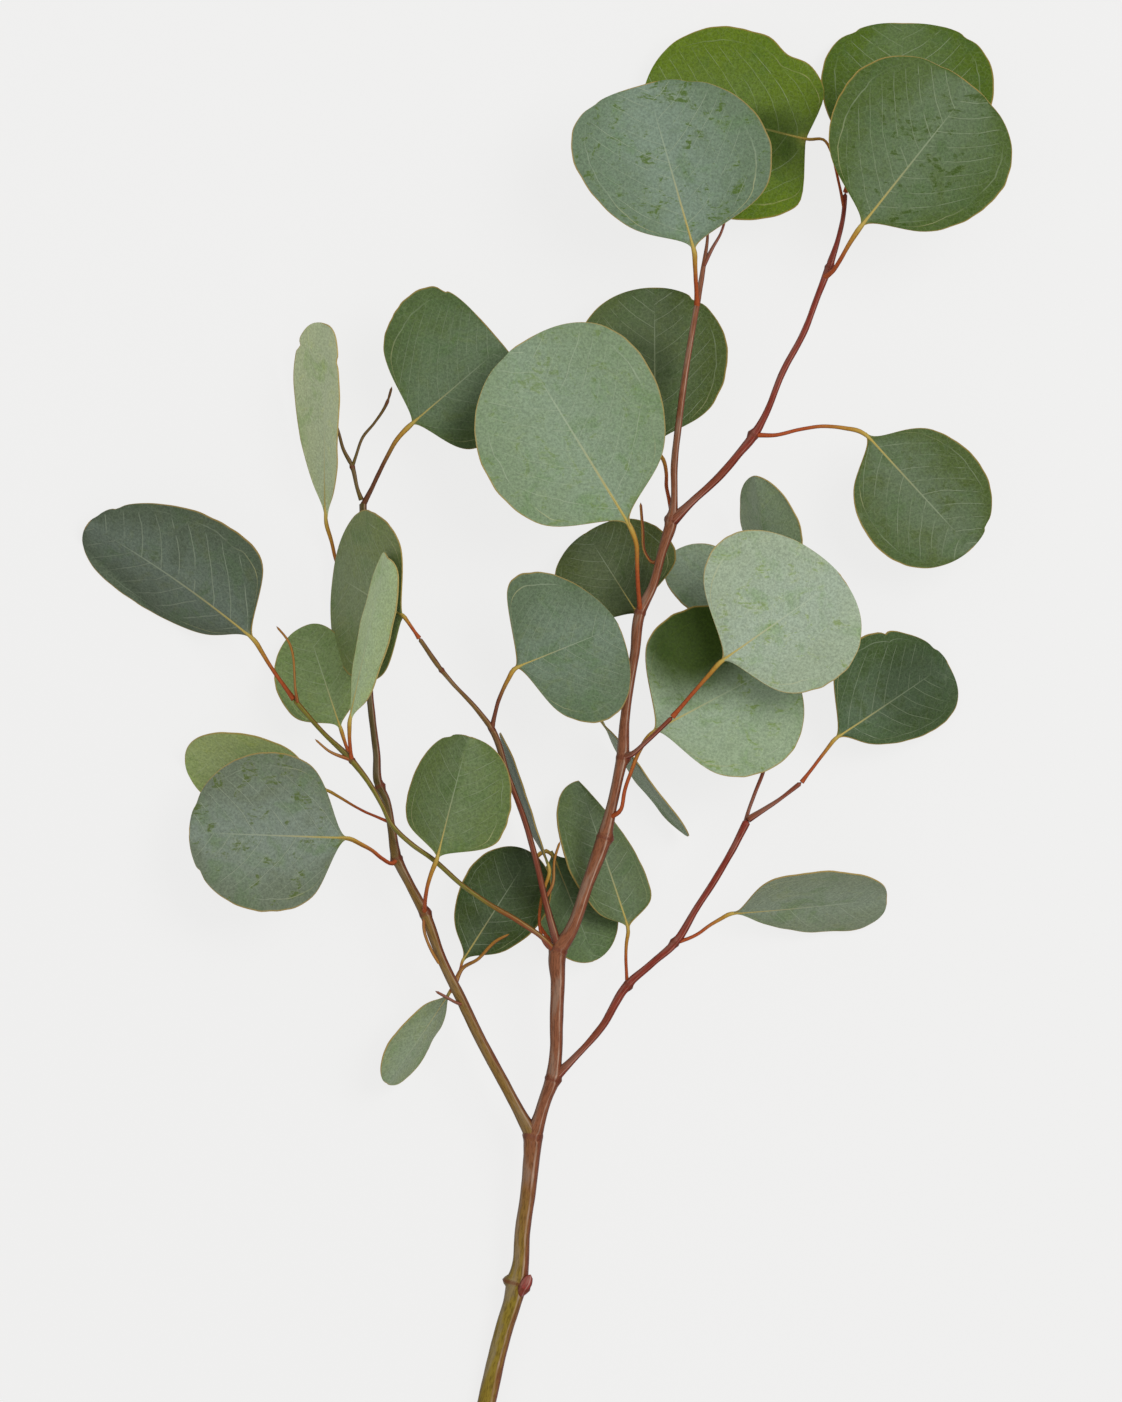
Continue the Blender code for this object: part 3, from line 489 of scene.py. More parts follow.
def make_shoot(shoot, looks):
    """One length of wood with its collar, its ringed nodes and its uneven bark."""
    points = list(shoot.points)
    if shoot.name not in NO_COLLAR:
        x, y, z, radius = points[0]
        points[0] = (x, y, z, radius * looks.collar)
    route = Route(points)
    nodes = swelling_places(points, route)
    scars = [(nodes[i], math.radians(turn), size) for i, turn, size in SCARS.get(shoot.name, ())]
    seed = len(shoot.name) * 3.7 + points[0][0]

    def relief(along, angle):
        spot = Vector((math.cos(angle) * 1.3, math.sin(angle) * 1.3, along / 5 + seed))
        height = looks.unevenness * noise.noise(spot) * min(1, route.at(along)[1])
        for node in nodes:
            gap = along - node
            height += looks.ring * math.exp(-(gap / RING_REACH) ** 2)
            height -= looks.ring * GROOVE * math.exp(-((gap - GROOVE_GAP) / RING_REACH) ** 2)
        for node, turn, size in scars:
            away = (along - node) / SCAR_LENGTH
            apart = math.remainder(angle - turn, math.tau) * route.at(along)[1] / SCAR_WIDTH
            height += size * math.exp(-(away ** 2 + apart ** 2) ** 2)
        return height

    def pattern(along, angle):
        rings = sum(math.exp(-((along - node) / TINT_REACH) ** 2) for node in nodes)
        size = 1 + RING_TINT * rings
        return (math.cos(angle) * size, math.sin(angle) * size, along)

    piece = tube(shoot.name + "_wood", route, looks.sides, looks.step, pattern, relief)
    bpy.ops.object.shade_smooth()
    finish_piece(piece, shoot.name, bark_material(shoot.bark))


def finish_piece(piece, node, material):
    """Material, frame and slot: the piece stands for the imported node."""
    piece.data.materials.clear()
    piece.data.materials.append(material)
    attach(piece, "root")
    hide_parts(node)


# ---------------------------------------------------------------- leaves


def half_width(leaf, s, left):
    """The half width of one side of the blade at s of its length, in millimetres."""
    shoulder, crown = (leaf.left_form if left else leaf.right_form) or (leaf.shoulder, leaf.crown)
    widest = shoulder / (shoulder + crown)
    rise = (s / widest) ** shoulder
    close = ((1 - s) / (1 - widest)) ** crown
    neck = 1 - math.exp(-(s / leaf.neck) ** 2)
    width = (leaf.left if left else leaf.right) * rise * close * neck
    for side, place, depth, wide in leaf.nicks:
        if (side > 0) == left:
            width -= depth * math.exp(-((s - place) / wide) ** 2)
    return max(width, 0)


def blade_frame(leaf):
    """The blade's forward, left and upward directions."""
    heading = math.radians(leaf.heading)
    pitch = math.radians(leaf.pitch)
    forward = Vector((math.cos(heading) * math.cos(pitch), math.sin(heading) * math.cos(pitch),
                      math.sin(pitch)))
    level = Vector((-math.sin(heading), math.cos(heading), 0))
    left = Matrix.Rotation(math.radians(leaf.roll), 3, forward) @ level
    return forward, left, forward.cross(left)


def blade_axis(leaf, s):
    """The point on the blade's midline at s of its length."""
    forward, left, up = blade_frame(leaf)
    curve = (left * leaf.bend - up * DROOP) * s * s
    return Vector(leaf.stalk[-1]) + leaf.length * (forward * s + curve)


def make_blade(leaf, looks):
    """The thin blade: outline, fold, waves and nicks on a grid, then its thickness."""
    forward, left, up = blade_frame(leaf)
    seed = sum(ord(letter) for letter in leaf.name) * 0.37
    half_thickness = looks.thickness / MM / 2

    def place(x, y):
        s = x * x * (3 - 2 * x)
        across = math.sin((y - 0.5) * math.pi)
        grain = 1 + looks.ragged * noise.noise(Vector((s * 14, 5 * (across > 0), seed)))
        offset = across * (half_width(leaf, s, across > 0) * grain + BASE_WIDTH * (1 - s))
        spot = blade_axis(leaf, s) + left * offset
        spot -= forward * leaf.lobe * abs(offset) * (1 - s) ** 4
        rise = leaf.fold * abs(offset)
        swell = noise.noise(Vector((s * 2.3, across * 1.2, seed)))
        ripple = noise.noise(Vector((s * 5.5, 9 * (across > 0), seed)))
        calm = 1 - s ** CALM_TIP
        rise += calm * looks.wave * abs(across) * (SWELL * swell + RIPPLE * ripple * abs(across))
        spot += up * rise
        spot.z = max(spot.z, half_thickness + FLOOR_GAP)
        return spot, (s, offset / leaf.length, abs(across))

    blade = shaped_grid(leaf.name + "_leaf", looks.rows, looks.columns, place)
    wall = blade.modifiers.new("thickness", "SOLIDIFY")
    wall.thickness = looks.thickness
    wall.offset = 0
    bpy.ops.object.modifier_apply(modifier=wall.name)
    return blade


def make_stalk(leaf, looks):
    """The stalk and the raised midrib that it runs on into, as one tapering tube."""
    stalk = Route([(*point, leaf.radius) for point in leaf.stalk])
    points = []
    for place, share in STALK_SHAPE:
        points.append((*stalk.at(stalk.length * place)[0], leaf.radius * share))
    for place, share in MIDRIB_SHAPE:
        points.append((*blade_axis(leaf, place), leaf.radius * share))
    route = Route(points)

    def pattern(along, angle):
        if along < stalk.length:
            return (along / stalk.length - 1, math.cos(angle), -1)
        return ((along - stalk.length) / leaf.length, math.cos(angle), -1)

    def relief(along, angle):
        spot = Vector((math.cos(angle), math.sin(angle), along / 4))
        return looks.unevenness * noise.noise(spot) * leaf.radius

    return tube(leaf.name + "_stalk", route, STALK_SIDES, looks.stalk_step, pattern, relief)


def make_leaf(leaf, looks):
    """One leaf: the blade with the stalk and midrib joined to it."""
    stalk = make_stalk(leaf, looks)
    blade = make_blade(leaf, looks)
    bpy.ops.object.select_all(action="DESELECT")
    stalk.select_set(True)
    blade.select_set(True)
    bpy.context.view_layer.objects.active = blade
    bpy.ops.object.join()
    bpy.ops.object.shade_smooth_by_angle(angle=SHARP)
    finish_piece(blade, leaf.name, leaf_material(leaf))


# ---------------------------------------------------------------- materials


VEIN = (0.52, 0.58, 0.43)
WAX = (0.36, 0.44, 0.42)
FOOT = (0.42, 0.36, 0.08)           # the blade beside its stalk
RIM_VEIN = (0.45, 0.40, 0.14)
MIDRIB = (0.44, 0.33, 0.075)
RIM = (0.36, 0.23, 0.055)
STALK_TOP = (0.38, 0.21, 0.03)
BARK_WAX = (0.30, 0.25, 0.19)
PORE = (0.06, 0.03, 0.015)
RING = (0.13, 0.032, 0.016)
SHINE = 0.12                        # specular level: a waxy bloom reflects little
LEAF_BUMP = (0.5, 0.0003)           # strength and distance
BARK_BUMP = (0.4, 0.00012)


class Wiring:
    """Adds nodes to a tree, each joined to what feeds it."""

    def __init__(self, tree):
        self.tree = tree

    def feed(self, socket, value):
        """Joins a socket to another, or gives it a plain value."""
        if isinstance(value, bpy.types.NodeSocket):
            self.tree.links.new(value, socket)
        elif isinstance(value, tuple) and len(value) == 3 and socket.type == "RGBA":
            socket.default_value = (*value, 1)
        else:
            socket.default_value = value

    def reckon(self, operation, *values, clamp=False):
        """A Math node. The short names below stand for the usual operations."""
        node = self.tree.nodes.new("ShaderNodeMath")
        node.operation = operation
        node.use_clamp = clamp
        for socket, value in zip(node.inputs, values):
            self.feed(socket, value)
        return node.outputs[0]

    times = partialmethod(reckon, "MULTIPLY")
    plus = partialmethod(reckon, "ADD")
    minus = partialmethod(reckon, "SUBTRACT")
    fit = partialmethod(reckon, "MULTIPLY_ADD")
    most = partialmethod(reckon, "MAXIMUM")
    size = partialmethod(reckon, "ABSOLUTE")

    def step(self, value, low, high, start=0.0, end=1.0):
        """A smooth step from start to end as the value goes from low to high."""
        node = self.tree.nodes.new("ShaderNodeMapRange")
        node.interpolation_type = "SMOOTHSTEP"
        for name, given in zip(("Value", "From Min", "From Max", "To Min", "To Max"),
                               (value, low, high, start, end)):
            self.feed(node.inputs[name], given)
        return node.outputs["Result"]

    def mix(self, share, first, second, blend="MIX"):
        """A colour between two others."""
        node = self.tree.nodes.new("ShaderNodeMix")
        node.data_type = "RGBA"
        node.blend_type = blend
        ends = [socket for socket in node.inputs if socket.type == "RGBA"]
        self.feed(node.inputs["Factor"], share)
        self.feed(ends[0], first)
        self.feed(ends[1], second)
        return next(socket for socket in node.outputs if socket.type == "RGBA")

    def tint(self, share, colour, tint):
        """That share of the way from a colour to the colour times a tint."""
        return self.mix(share, colour, self.mix(1.0, colour, tint, "MULTIPLY"))

    def vector(self, operation, first, second):
        """A Vector Math node. The second value of a scale is a number."""
        node = self.tree.nodes.new("ShaderNodeVectorMath")
        node.operation = operation
        self.feed(node.inputs[0], first)
        self.feed(node.inputs["Scale"] if operation == "SCALE" else node.inputs[1], second)
        return node.outputs[0]

    def noise(self, place, scale, detail=2.0, rough=0.5, twist=0.0):
        """A Noise texture's value."""
        node = self.tree.nodes.new("ShaderNodeTexNoise")
        for name, value in (("Vector", place), ("Scale", scale), ("Detail", detail),
                            ("Roughness", rough), ("Distortion", twist)):
            self.feed(node.inputs[name], value)
        return node.outputs["Fac"]

    def cells(self, place, scale):
        """How far a place is from the edge of its Voronoi cell."""
        node = self.tree.nodes.new("ShaderNodeTexVoronoi")
        node.feature = "DISTANCE_TO_EDGE"
        self.feed(node.inputs["Vector"], place)
        self.feed(node.inputs["Scale"], scale)
        return node.outputs["Distance"]

    def flat(self):
        """The flat attribute: the whole vector and its three numbers."""
        source = self.tree.nodes.new("ShaderNodeAttribute")
        source.attribute_name = "flat"
        parts = self.tree.nodes.new("ShaderNodeSeparateXYZ")
        self.feed(parts.inputs[0], source.outputs["Vector"])
        return source.outputs["Vector"], *parts.outputs

    def millimetres(self, seed):
        """The place on the object in millimetres, moved on by a seed."""
        source = self.tree.nodes.new("ShaderNodeTexCoord")
        scaled = self.vector("SCALE", source.outputs["Object"], 1 / MM)
        shift = self.tree.nodes.new("ShaderNodeCombineXYZ")
        for socket in shift.inputs:
            self.feed(socket, seed)
        return self.vector("ADD", scaled, shift.outputs[0])


def new_group(name, colours, numbers):
    """A group with those inputs that gives a colour, a roughness and a height, and its ends."""
    tree = bpy.data.node_groups.new(name, "ShaderNodeTree")
    for in_out, kind, labels in (("INPUT", "Color", colours), ("INPUT", "Float", numbers),
                                 ("OUTPUT", "Color", ("Color",)),
                                 ("OUTPUT", "Float", ("Roughness", "Height"))):
        for label in labels:
            tree.interface.new_socket(label, in_out=in_out, socket_type="NodeSocket" + kind)
    return tree, tree.nodes.new("NodeGroupInput").outputs, tree.nodes.new("NodeGroupOutput").inputs


def leaf_surface():
    """The node group for a waxy blade: bloom, speckle, rubbed places, veins, rim and stalk."""
    if "leaf surface" in bpy.data.node_groups:
        return bpy.data.node_groups["leaf surface"]
    tree, given, out = new_group("leaf surface", ("Blade", "Stalk"), (
        "Bloom", "Rubbed", "Rim", "Veins", "Seed", "Shade Along", "Shade Across", "Shade Radius",
        "Shade"))
    w = Wiring(tree)
    _, s, v, margin = w.flat()
    place = w.millimetres(given["Seed"])
    aside = w.size(v)

    speckle = w.noise(place, 1.3, 3, 0.7)
    mottle = w.noise(place, 0.09, 5, 0.65, 0.6)
    patches = w.noise(place, 0.10, 5, 0.7, 1.5)
    scratches = w.noise(w.vector("MULTIPLY", place, (0.3, 0.9, 0.9)), 0.9, 3, 0.6, 0.8)
    flecks = w.noise(place, 0.42, 3, 0.6, 1.0)

    wobble = w.fit(w.noise(place, 0.07, 2), 0.05, -0.025)
    lean = w.times(aside, w.fit(aside, 1.0, 0.55))
    rows = w.plus(w.minus(s, lean), wobble)
    stagger = w.times(w.reckon("GREATER_THAN", v, 0.0), 0.45)
    turns = w.fit(rows, 9.5, stagger)
    gap = w.size(w.minus(w.reckon("FRACT", turns), 0.5))
    which = tree.nodes.new("ShaderNodeTexWhiteNoise")
    which.noise_dimensions = "1D"
    w.feed(which.inputs["W"], w.plus(w.reckon("FLOOR", turns), given["Seed"]))
    strength = w.fit(which.outputs["Value"], 0.6, 0.4)
    broken = w.step(w.noise(place, 0.15, 2), 0.33, 0.5)
    side_vein = w.times(w.step(gap, 0.045, 0.012), w.times(strength, broken))
    side_vein = w.times(side_vein, w.step(margin, 0.84, 0.7))
    side_vein = w.times(side_vein, w.step(s, 0.02, 0.1))

    loops = w.fit(w.noise(place, 0.10, 2), 0.10, 0.79)
    loop_gap = w.size(w.minus(margin, loops))
    rim_vein = w.times(w.step(loop_gap, 0.011, 0.003), w.step(s, 0.95, 0.6))
    rim_vein = w.times(rim_vein, w.step(w.noise(place, 0.09, 2), 0.35, 0.62, 0.12, 0.75))

    mid_width = w.fit(s, -0.005, 0.0052)
    midrib = w.times(w.step(w.minus(aside, mid_width), 0.003, 0.0), w.step(s, 0.92, 0.65))
    net = w.times(w.step(w.cells(place, 0.55), 0.06, 0.0), 0.22)

    pale = w.mix(0.36, given["Blade"], VEIN)
    bloomed = w.mix(0.26, given["Blade"], WAX)
    inner = w.step(w.fit(mottle, 0.9, w.times(margin, 0.5)), 0.92, 0.5)
    bloom_share = w.times(inner, given["Bloom"])
    colour = w.mix(bloom_share, given["Blade"], bloomed)
    colour = w.tint(w.step(mottle, 0.52, 0.3, 0.0, 0.7), colour, (0.66, 0.80, 0.5))
    colour = w.tint(w.step(patches, 0.5, 0.75, 0.0, 0.6), colour, (1.35, 1.25, 1.1))
    colour = w.vector("SCALE", colour, w.step(speckle, 0.28, 0.72, 0.78, 1.22))
    worn = w.step(w.fit(scratches, 0.5, patches), 0.82, 0.92)
    rubbed = w.times(worn, given["Rubbed"], clamp=True)
    fleck_share = w.times(given["Rubbed"], 0.7)
    rubbed = w.most(rubbed, w.times(w.step(flecks, 0.68, 0.76), fleck_share))
    colour = w.mix(rubbed, colour, w.mix(1.0, given["Blade"], (0.55, 0.68, 0.16), "MULTIPLY"))
    lines = w.most(w.most(side_vein, rim_vein), net)
    colour = w.mix(w.times(lines, given["Veins"]), colour, pale)
    foot = w.times(w.step(s, 0.08, 0.0), w.step(aside, 0.06, 0.0))
    colour = w.mix(w.times(foot, 0.8), colour, w.mix(0.5, given["Blade"], FOOT))
    near = w.times(rim_vein, w.step(s, 0.5, 0.1, 0.0, 0.6))
    colour = w.mix(near, colour, RIM_VEIN)
    straw = w.mix(w.step(s, -0.05, 0.6), MIDRIB, pale)
    colour = w.mix(w.times(midrib, 0.8), colour, straw)

    # Painted shade: a darker, deeper green place on the blade, mostly where a leaf in front shades
    # it, on some leaves also the blade's own deeper green.
    along = w.minus(s, given["Shade Along"])
    across = w.minus(v, given["Shade Across"])
    reach = w.reckon("SQRT", w.plus(w.times(along, along), w.times(across, across)))
    reach = w.fit(mottle, 0.12, reach)
    painted_shade = w.reckon("DIVIDE", w.minus(reach, 0.06), given["Shade Radius"])
    painted_shade = w.times(w.step(painted_shade, 1.0, 0.35), given["Shade"])
    colour = w.tint(painted_shade, colour, (0.13, 0.18, 0.025))

    edge = w.most(w.step(margin, w.minus(1.0, given["Rim"]), 1.0), w.step(s, 0.993, 0.998))
    colour = w.mix(w.times(edge, 0.75), colour, RIM)
    stalk = w.mix(w.step(s, -0.6, -0.05), given["Stalk"], STALK_TOP)
    stalk = w.tint(w.step(speckle, 0.4, 0.65, 0.0, 0.4), stalk, (0.6, 0.45, 0.4))
    stalk = w.mix(w.step(s, -0.15, 0.1), stalk, straw)
    # Painted shade: the stalk's edges, as seen from above, are darkened so that it looks round.
    stalk_edge_shade = w.times(w.step(aside, 0.55, 0.95, 0.0, 0.65), w.step(s, 0.1, 0.0))
    stalk = w.tint(stalk_edge_shade, stalk, (0.45, 0.35, 0.25))
    stalk = w.mix(w.step(s, 0.3, 0.8, 0.0, 0.9), stalk, w.mix(0.3, colour, pale))
    colour = w.mix(w.reckon("LESS_THAN", margin, -0.5), colour, stalk)

    rough = w.fit(bloom_share, 0.2, 0.46)
    rough = w.fit(rubbed, -0.1, rough)
    height = w.plus(w.times(lines, 0.7), w.times(speckle, 0.6))
    height = w.plus(height, w.times(mottle, 1.8))
    w.feed(out["Color"], colour)
    w.feed(out["Roughness"], rough)
    w.feed(out["Height"], height)
    return tree


def bark_surface():
    """The node group for young bark: its colour along and round it, a painted highlight streak,
    painted shade on its edges, bloom that leans to its left side as a painted sheen, and pores.
    """
    if "bark surface" in bpy.data.node_groups:
        return bpy.data.node_groups["bark surface"]
    tree, given, out = new_group("bark surface", BARK_COLOURS, BARK_NUMBERS)
    w = Wiring(tree)
    place, turn, lift, along = w.flat()
    fibre = w.noise(w.vector("MULTIPLY", place, (2.6, 2.6, 0.10)), 1.0, 4, 0.65)
    fine = w.noise(w.vector("MULTIPLY", place, (5.0, 5.0, 0.35)), 1.0, 4, 0.7)
    blotch = w.noise(w.vector("MULTIPLY", place, (0.8, 0.8, 0.06)), 1.0, 3, 0.6)
    pores = w.step(w.noise(w.vector("MULTIPLY", place, (3.0, 3.0, 1.2)), 1.0, 2, 0.5), 0.70, 0.76)
    drift = w.fit(blotch, 50.0, w.minus(along, 25.0))
    colour = w.mix(w.step(drift, given["Start"], given["End"]), given["Lower"], given["Upper"])
    facing = w.plus(turn, w.fit(fibre, 1.4, -0.7))
    colour = w.mix(w.step(facing, 0.1, 1.0), colour, given["Side"])
    colour = w.tint(w.step(fine, 0.56, 0.36, 0.0, 0.7), colour, (0.4, 0.34, 0.3))
    # Bloom and painted sheen: the bark's waxy bloom, made to lean to each shoot's left side, where
    # it stands in for a pale painted highlight.
    sheen_lean = w.minus(blotch, w.times(turn, 0.14))
    bloom_and_sheen = w.times(w.step(sheen_lean, 0.5, 0.68), given["Bloom"])
    colour = w.mix(bloom_and_sheen, colour, BARK_WAX)
    # Painted highlight: a pale streak along the right side of each shoot, broken up by the fibres.
    shift = w.fit(fibre, 0.5, w.minus(turn, 0.68))
    painted_highlight = w.step(w.size(shift), 0.15, 0.03)
    painted_highlight = w.times(painted_highlight, w.step(blotch, 0.35, 0.6, 0.1, 0.55))
    colour = w.mix(painted_highlight, colour, given["Streak"])
    # Painted shade: both edges of each shoot, as seen from above, are darkened so that it looks
    # round.
    rim = w.step(w.size(turn), 0.72, 0.98, 0.0, 0.6)
    colour = w.tint(rim, colour, (0.35, 0.26, 0.2))
    colour = w.mix(w.times(pores, 0.5), colour, PORE)
    squares = w.plus(w.times(turn, turn), w.times(lift, lift))
    size = w.reckon("SQRT", squares)
    colour = w.mix(w.step(size, 1.15, 1.5, 0.0, 0.6), colour, RING)
    w.feed(out["Color"], colour)
    w.feed(out["Roughness"], w.fit(fine, 0.25, 0.28))
    w.feed(out["Height"], w.plus(fine, w.times(fibre, 1.5)))
    return tree


def surface_material(name, group, values, bump):
    """A Principled material whose colour, roughness and relief come from a node group."""
    material = bpy.data.materials.new(name)
    material.use_nodes = True
    tree = material.node_tree
    shader = tree.nodes["Principled BSDF"]
    surface = tree.nodes.new("ShaderNodeGroup")
    surface.node_tree = group
    w = Wiring(tree)
    for label, value in values.items():
        w.feed(surface.inputs[label], value)
    relief = tree.nodes.new("ShaderNodeBump")
    relief.inputs["Strength"].default_value, relief.inputs["Distance"].default_value = bump
    w.feed(relief.inputs["Height"], surface.outputs["Height"])
    w.feed(shader.inputs["Base Color"], surface.outputs["Color"])
    w.feed(shader.inputs["Roughness"], surface.outputs["Roughness"])
    w.feed(shader.inputs["Normal"], relief.outputs["Normal"])
    shader.inputs["Specular IOR Level"].default_value = SHINE
    return material


def leaf_material(leaf):
    """The leaf's own waxy surface."""
    looks = bpy.context.scene.eucalyptus_leaves
    return surface_material(leaf.name, leaf_surface(), {
        "Blade": leaf.colour, "Stalk": leaf.stalk_colour, "Bloom": leaf.bloom,
        "Rubbed": leaf.rubbed, "Rim": looks.rim / MM / max(leaf.left, leaf.right),
        "Veins": looks.veins, "Seed": sum(ord(letter) for letter in leaf.name) * 1.3,
        "Shade Along": leaf.shade[0], "Shade Across": leaf.shade[1],
        "Shade Radius": leaf.shade[2], "Shade": leaf.shade[3],
    }, LEAF_BUMP)


# Highlight is the colour of the painted highlight streak along each shoot's right side.
BARK_COLOURS = ("Lower", "Upper", "Side", "Streak")
BARK_NUMBERS = ("Start", "End", "Bloom")    # Upper takes over from Lower from Start to End, mm
BARKS = {
    "main": ((0.22, 0.155, 0.018), (0.225, 0.082, 0.038), (0.18, 0.05, 0.022), (0.50, 0.36, 0.27),
             45.0, 115.0, 0.35),
    "red": ((0.20, 0.06, 0.028), (0.21, 0.032, 0.018), (0.17, 0.022, 0.012), (0.46, 0.24, 0.18),
            0.0, 40.0, 0.2),
    "brown": ((0.19, 0.045, 0.022), (0.17, 0.10, 0.028), (0.13, 0.04, 0.018), (0.40, 0.26, 0.14),
              45.0, 85.0, 0.2),
    "olive": ((0.25, 0.055, 0.02), (0.17, 0.15, 0.02), (0.18, 0.085, 0.018), (0.36, 0.29, 0.10),
              5.0, 35.0, 0.12),
    "dark": ((0.13, 0.09, 0.02), (0.11, 0.055, 0.02), (0.10, 0.04, 0.016), (0.24, 0.18, 0.07),
             0.0, 30.0, 0.1),
    "left": ((0.21, 0.12, 0.03), (0.085, 0.062, 0.016), (0.15, 0.04, 0.02), (0.38, 0.27, 0.18),
             80.0, 125.0, 0.18),
    "ochre": ((0.30, 0.075, 0.02), (0.33, 0.15, 0.024), (0.22, 0.055, 0.016), (0.46, 0.28, 0.10),
              0.0, 15.0, 0.1),
    "bud": ((0.24, 0.06, 0.032), (0.28, 0.035, 0.028), (0.20, 0.025, 0.018), (0.48, 0.30, 0.25),
            0.0, 4.0, 0.3),
}


def bark_material(kind):
    """The bark of that kind, made once."""
    name = kind + " bark"
    if name in bpy.data.materials:
        return bpy.data.materials[name]
    values = dict(zip(BARK_COLOURS + BARK_NUMBERS, BARKS[kind]))
    return surface_material(name, bark_surface(), values, BARK_BUMP)


# ---------------------------------------------------------------- settings


class EucalyptusWood(bpy.types.PropertyGroup):
    """The sizes of the wood's detail, in millimetres."""

    sides: IntProperty(name="Sides", description="Facets round a shoot", default=20, min=8)
    step: FloatProperty(name="Step", description="Row spacing along a shoot, mm", default=1.0)
    collar: FloatProperty(name="Collar", description="How much a shoot's root swells", default=1.25)
    ring: FloatProperty(name="Ring", description="Height of a node's ring, mm", default=0.22)
    unevenness: FloatProperty(name="Unevenness", description="Relief of the bark, mm", default=0.09)


class EucalyptusLeaves(bpy.types.PropertyGroup):
    """The sizes and finish of the leaves' detail."""

    rows: IntProperty(name="Rows", description="Rows along a blade", default=64, min=12)
    columns: IntProperty(name="Columns", description="Columns across a blade", default=28, min=6)
    thickness: FloatProperty(name="Thickness", description="Blade thickness", default=0.0004,
                             unit="LENGTH")
    stalk_step: FloatProperty(name="Stalk step", description="Row spacing along a stalk, mm",
                              default=1.2)
    wave: FloatProperty(name="Wave", description="Height of a blade's waves, mm", default=0.5)
    ragged: FloatProperty(name="Ragged", description="Unevenness of the outline", default=0.013)
    unevenness: FloatProperty(name="Unevenness", description="Relief of a stalk", default=0.08)
    rim: FloatProperty(name="Rim", description="Width of the straw-coloured rim", default=0.0007,
                       unit="LENGTH")
    veins: FloatProperty(name="Veins", description="Strength of the veins", default=0.72,
                         subtype="FACTOR")


class EucalyptusStage(bpy.types.PropertyGroup):
    """The floor, the light and the camera."""

    floor_colour: FloatVectorProperty(name="Floor", description="Colour of the floor",
                                      default=(0.06, 0.06, 0.06), subtype="COLOR")
    floor_glow: FloatVectorProperty(name="Floor glow", description="Light that the floor gives",
                                    default=(0.805, 0.802, 0.797), subtype="COLOR")
    sky: FloatProperty(name="Sky", description="Strength of the light from all round", default=0.66)
    key_power: FloatProperty(name="Key", description="Power of the soft lamp", default=20.0,
                             unit="POWER")
    key_size: FloatProperty(name="Key size", description="Side of the soft lamp", default=0.9,
                            unit="LENGTH")
    camera_height: FloatProperty(name="Camera height", description="Height of the camera",
                                 default=3.025, unit="LENGTH")
    lens: FloatProperty(name="Lens", description="Focal length, mm", default=240.7, unit="CAMERA")


# ---------------------------------------------------------------- operators


def make_shoots(*names):
    """The named shoots, each finished."""
    looks = bpy.context.scene.eucalyptus_wood
    known = {shoot.name: shoot for shoot in SHOOTS}
    for name in names:
        make_shoot(known[name], looks)


def make_leaves(*names):
    """The named leaves, each finished."""
    looks = bpy.context.scene.eucalyptus_leaves
    known = {leaf.name: leaf for leaf in LEAVES}
    for name in names:
        make_leaf(known[name], looks)


class EUCALYPTUS_OT_main_stem(bpy.types.Operator):
    """Add the main stem and the bud on its lowest node"""

    bl_idname = "eucalyptus.main_stem"
    bl_label = "Main stem"

    def execute(self, context):
        make_shoots("main_stem", "node_bud")
        return {"FINISHED"}


class EUCALYPTUS_OT_branches(bpy.types.Operator):
    """Add the branches that leave the main stem"""

    bl_idname = "eucalyptus.branches"
    bl_label = "Branches"

    def execute(self, context):
        make_shoots("left_branch", "right_branch", "crossing_shoot", "centre_left_shoot",
                    "crown_right_shoot")
        return {"FINISHED"}


class EUCALYPTUS_OT_twigs(bpy.types.Operator):
    """Add the thin twigs that bear leaves or stand bare"""

    bl_idname = "eucalyptus.twigs"
    bl_label = "Twigs"

    def execute(self, context):
        make_shoots("left_top_twig", "left_top_side_twig", "right_tip_twig", "right_back_twig",
                    "right_front_twig", "crown_tip_twig", "low_left_spur", "left_branch_twiglet",
                    "far_left_twiglet", "cluster_twiglet")
        return {"FINISHED"}


class EUCALYPTUS_OT_bare_stalks(bpy.types.Operator):
    """Add the stalks whose leaves have fallen"""

    bl_idname = "eucalyptus.bare_stalks"
    bl_label = "Bare stalks"

    def execute(self, context):
        make_shoots("pressed_stalk", "upper_bare_stalk", "centre_bare_stalk")
        return {"FINISHED"}


class EUCALYPTUS_OT_crown_leaves(bpy.types.Operator):
    """Add the leaves of the crown"""

    bl_idname = "eucalyptus.crown_leaves"
    bl_label = "Top leaves"

    def execute(self, context):
        make_leaves("crown_left_front", "crown_left_back", "crown_right_front", "crown_right_back",
                    "centre_top_back", "right_mid")
        return {"FINISHED"}


class EUCALYPTUS_OT_left_leaves(bpy.types.Operator):
    """Add the leaves on the left branch and the shoot that crosses it"""

    bl_idname = "eucalyptus.left_leaves"
    bl_label = "Left leaves"

    def execute(self, context):
        make_leaves("upper_left", "narrow_left", "left_far", "left_dark_tall", "left_small_front",
                    "left_small_back", "left_blue", "left_green_back", "mid_left_green",
                    "lower_left_dark", "lower_left_hanging")
        return {"FINISHED"}


class EUCALYPTUS_OT_centre_leaves(bpy.types.Operator):
    """Add the leaves along the main stem"""

    bl_idname = "eucalyptus.centre_leaves"
    bl_label = "Centre leaves"

    def execute(self, context):
        make_leaves("centre_big_front", "centre_left", "centre_back_dark", "right_green_mid",
                    "edge_right", "edge_centre", "lower_dark_back")
        return {"FINISHED"}


